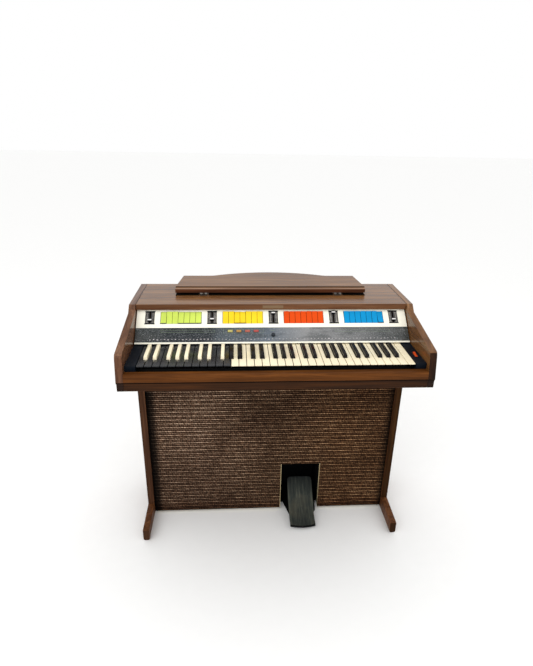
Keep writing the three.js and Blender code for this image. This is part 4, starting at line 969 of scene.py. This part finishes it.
def build_panel_marks():
    """Print of the smoked strip: outlines at the buttons and two banks, and ticks at its foot."""
    lines = bmesh.new()
    first, last = BUTTONS[0][1], BUTTONS[-1][1]
    line_box(lines, (first - 22.0, 76.5), (last + 24.0, 89.5), 0.5)
    line_box(lines, (-372.0, 78.0), (-196.0, 86.0), 0.6)
    line_box(lines, (206.0, 78.0), (392.0, 86.0), 0.6)
    box_in(lines, (-9.0, 79.6, 0.0), (3.0, 80.6, PRINT), on_panel)
    box_in(lines, (-6.0, 110.5, 0.0), (0.0, 111.3, PRINT), on_panel)
    finish_piece("fascia_lines", lines, "green_mark")
    ticks = bmesh.new()
    for i in range(1, 2 * KEY_COUNT - 1):
        middle = (i + 0.5) * KEY_PITCH / 2 - KEYBOARD_WIDTH / 2
        reach = random.choice((1.2, 1.8, 2.6))
        down = 110.0 + random.choice((0.0, 0.0, 1.6))
        box_in(ticks, (middle - reach, down, 0.0), (middle + reach, down + 2.1, PRINT), on_panel)
    finish_piece("fascia_ticks", ticks, "tick_mark")


# Music rest.


def build_rest_lip():
    """The lip, rebated along its back, with a lighter copy of the walnut on its sloped top for a painted
    highlight, and a darker copy on its front for painted shade.
    """
    half = case_box("music_rest_lip")[1].x
    front, back = -1.0, 10.9
    profile = [(front, 2.6), (back, 2.6), (back, REST_TOP - 2.6), (6.4, REST_TOP - 3.4), (front, 15.6)]
    bm = bmesh.new()
    faces = prism(bm, profile, -half, half, rest_side)
    # Painted highlight on the sloped top, painted shade on the front.
    paint(faces[5:6], 2)
    paint(faces[6:], 1)
    woods = ["walnut_x", "walnut_lip_front_shade_x", "walnut_lip_top_light_x"]
    finish_piece("music_rest_lip_rebated", bm, woods, "music_rest", ("music_rest_lip",), 0.9)


def build_music_rest():
    """The board, its lip, a black strip on the top board under and in front of the lip, open round the
    hinges, which paints the shadow there, and the hinges.
    """
    dressed("music_rest_board", "walnut_x", 1.6, 3, "music_rest")
    build_rest_lip()
    low, high = case_box("rest_hinge_base_right")
    inner, outer = low.x - 4.5, high.x + 4.5
    end = case_box("music_rest_lip")[1].x - 2.0
    top = case_box("top_board")[1].z
    # Painted shadow: a black strip on the top board, under and in front of the lip.
    strip = bmesh.new()
    for left, right in ((-end, -outer), (-inner, inner), (outer, end)):
        box_in(strip, (left, 357.0, top + 0.05), (right, 388.0, top + 1.0))
    finish_piece("rest_shadow_strip", strip, "painted_shadow_black", edge=0.2, segments=2)
    for side in ("left", "right"):
        dressed(f"rest_hinge_base_{side}", "hinge_steel_shaded", 0.25, 2)
        dressed(f"rest_hinge_leaf_{side}", "hinge_steel", 0.25, 2, "music_rest")
        dressed(f"rest_buffer_{side}", "buffer_rubber", 0.8)
    screws = bmesh.new()
    for side in (-1, 1):
        for offset in (-8, 8):
            place = (side * (low.x + high.x) / 2 + offset, low.y + 6.0, low.z + 1.5)
            screw(screws, place, (0, 0, 1), 2.0, 0.7)
    finish_piece("hinge_screws", screws, "hinge_steel")


# Stand, cloth and pedal.


def cell_edges(start, end, *others, cell=24.0):
    """Where the cloth's cells end, with the cutout's sides among them."""
    return sorted({start, end, *others} | {start + i * cell for i in range(1, int((end - start) / cell) + 1)})


def build_cloth():
    """Two layers of cells, left out over the pedal cutout and closed along every edge."""
    low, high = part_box("grille_cloth")
    half = high.x / METRES
    bottom, top = low.z / METRES, high.z / METRES
    columns, rows = cell_edges(-half, half, CUTOUT_LEFT, CUTOUT_RIGHT), cell_edges(bottom, top, CUTOUT_TOP)
    bm = bmesh.new()
    layers = [
        {(x, z): bm.verts.new(at(x, y, z)) for x in columns for z in rows} for y in (CLOTH_FRONT, CLOTH_BACK)]
    cells = [
        ((a, c), (b, c), (b, d), (a, d))
        for a, b in zip(columns, columns[1:])
        for c, d in zip(rows, rows[1:])
        if not (CUTOUT_LEFT <= a < CUTOUT_RIGHT and c < CUTOUT_TOP)]
    edges = {}
    for corners in cells:
        bm.faces.new([layers[0][corner] for corner in corners])
        bm.faces.new([layers[1][corner] for corner in reversed(corners)])
        for start, end in zip(corners, corners[1:] + corners[:1]):
            key = frozenset((start, end))
            edges[key] = None if key in edges else (start, end)
    for pair in edges.values():
        if pair:
            start, end = pair
            bm.faces.new((layers[0][end], layers[0][start], layers[1][start], layers[1][end]))
    bmesh.ops.delete(bm, geom=[vert for vert in bm.verts if not vert.link_faces], context="VERTS")
    node = "grille_cloth"
    piece = finish_piece(f"{node}_sheet", bm, "grille_cloth_brown", replaces=(node,))


def tread_point(angle, depth):
    """(y, z) on the curve of the rubber's ribs, at an angle about its centre, and so deep under it."""
    start, radius = math.radians(PEDAL_HEEL), TREAD_RADIUS + depth
    y = TREAD_HEEL[0] - TREAD_RADIUS * math.sin(start) + radius * math.sin(angle)
    return y, TREAD_HEEL[1] + TREAD_RADIUS * math.cos(start) - radius * math.cos(angle)


def rubber_section(ribs=15):
    """(share of the width, depth) round the rubber's section: over its ribs, then along its underside."""
    edge, under = 3.6, 4.0
    points = [(0.0, edge)]
    for rib in range(ribs):
        for share, depth in ((0.12, 1.4), (0.24, 0.0), (0.72, 0.0), (0.88, 1.4)):
            points.append(((rib + share) / ribs, depth))
    points.append((1.0, edge))
    return points + [(share, under) for share in (1.0, 0.9, 0.8, 0.65, 0.5, 0.35, 0.2, 0.1, 0.0)]


def build_pedal():
    """The pedal, whose rubber is bowed at the heel and widest past its middle."""
    dressed("pedal_tread", "black_steel", 0.5, 2, "swell_pedal", shape=form_tread)
    dressed("pedal_housing", "black_steel", 0.5, 2)
    dressed("pedal_axle", "hinge_steel", 0.6, 2)
    start, end = math.radians(PEDAL_HEEL + 0.4), math.radians(PEDAL_TOE - 0.1)
    steps = 40
    rings = []
    for step in range(steps + 1):
        along = step / steps
        bulge = math.sin(math.pi * min(1.0, along * 0.9))
        left = 74.4 - 0.7 * along - 0.8 * bulge
        right = 165.3 + 4.0 * along + 3.4 * bulge
        ring = []
        for share, depth in rubber_section():
            bow = PEDAL_BOW * (1.0 - (2.0 * share - 1.0) ** 2) / TREAD_RADIUS
            y, z = tread_point(start - bow * (1.0 - along) ** 4 + (end - start) * along, depth)
            ring.append(at(left + (right - left) * share, y, z))
        rings.append(ring)
    bm = bmesh.new()
    heel_end = loft(bm, rings)[:1]
    paint(heel_end, 1)
    round_toe(bm)
    materials = ["pedal_rubber_grey", "black_steel"]
    finish_piece("pedal_rubber_ribbed", bm, materials, "swell_pedal", ("pedal_rubber",))


# Pieces inside and behind.


def build_inner_pieces():
    dressed("key_chassis", "chassis_steel", 0.4, 2)
    dressed("main_circuit_board", "circuit_green", 0.3, 2)
    dressed("power_transformer", "black_steel", 1.0, 2)
    dressed("loudspeaker", "paper_cone", 0.6, 2)
    dressed("mains_inlet", "black_trim", 0.6, 2)
    low, high = case_box("mains_inlet")
    middle = (low + high) / 2
    bm = bmesh.new()
    for offset, rise in ((-7.0, -2.0), (0.0, 3.0), (7.0, -2.0)):
        x, z = middle.x + offset, middle.z + rise
        box_in(bm, (x - 1.0, high.y - 0.1, z - 2.6), (x + 1.0, high.y + 0.4, z + 2.6))
    finish_piece("inlet_contacts", bm, "hinge_steel")


build_case()
build_naturals()
build_sharps()
build_rocker()
build_panel()
build_music_rest()
build_cloth()
build_pedal()
build_inner_pieces()


# Stage: floor, light and camera.


def build_stage():
    bm = bmesh.new()
    bmesh.ops.create_grid(bm, x_segments=4, y_segments=4, size=30.0)
    floor = mesh_object("floor", bm, "floor_paint")


def build_lights():
    world = bpy.data.worlds.new("studio")
    bpy.context.scene.world = world
    world.use_nodes = True
    background = world.node_tree.nodes["Background"]
    background.inputs["Color"].default_value = (1.0, 1.0, 1.0, 1.0)
    background.inputs["Strength"].default_value = 1.0
    for name, (place, target, size, power) in LIGHTS.items():
        data = bpy.data.lights.new(name, "AREA")
        data.shape = "RECTANGLE"
        data.size, data.size_y = size
        data.energy = power
        light = add_object(name, data)
        light.location = place
        light.rotation_euler = (Vector(target) - Vector(place)).to_track_quat("-Z", "Y").to_euler()


def build_camera():
    data = bpy.data.cameras.new("camera")
    data.sensor_width = SENSOR_WIDTH
    data.lens = CAMERA_LENS
    data.clip_end = 200.0
    camera = add_object("camera", data)
    camera.location = at(*CAMERA_PLACE)
    yaw, pitch, roll = (math.radians(v) for v in (CAMERA_YAW, CAMERA_PITCH, CAMERA_ROLL))
    forward = Vector((math.sin(yaw) * math.cos(pitch), math.cos(yaw) * math.cos(pitch), math.sin(pitch)))
    level = Vector((math.cos(yaw), -math.sin(yaw), 0.0))
    upright = level.cross(forward)
    right = math.cos(roll) * level + math.sin(roll) * upright
    up = -math.sin(roll) * level + math.cos(roll) * upright
    turn = Matrix((right, up, -forward)).transposed()
    camera.rotation_euler = turn.to_euler()
    bpy.context.scene.camera = camera


build_stage()
build_lights()
build_camera()
bpy.context.scene.view_settings.view_transform = "Standard"
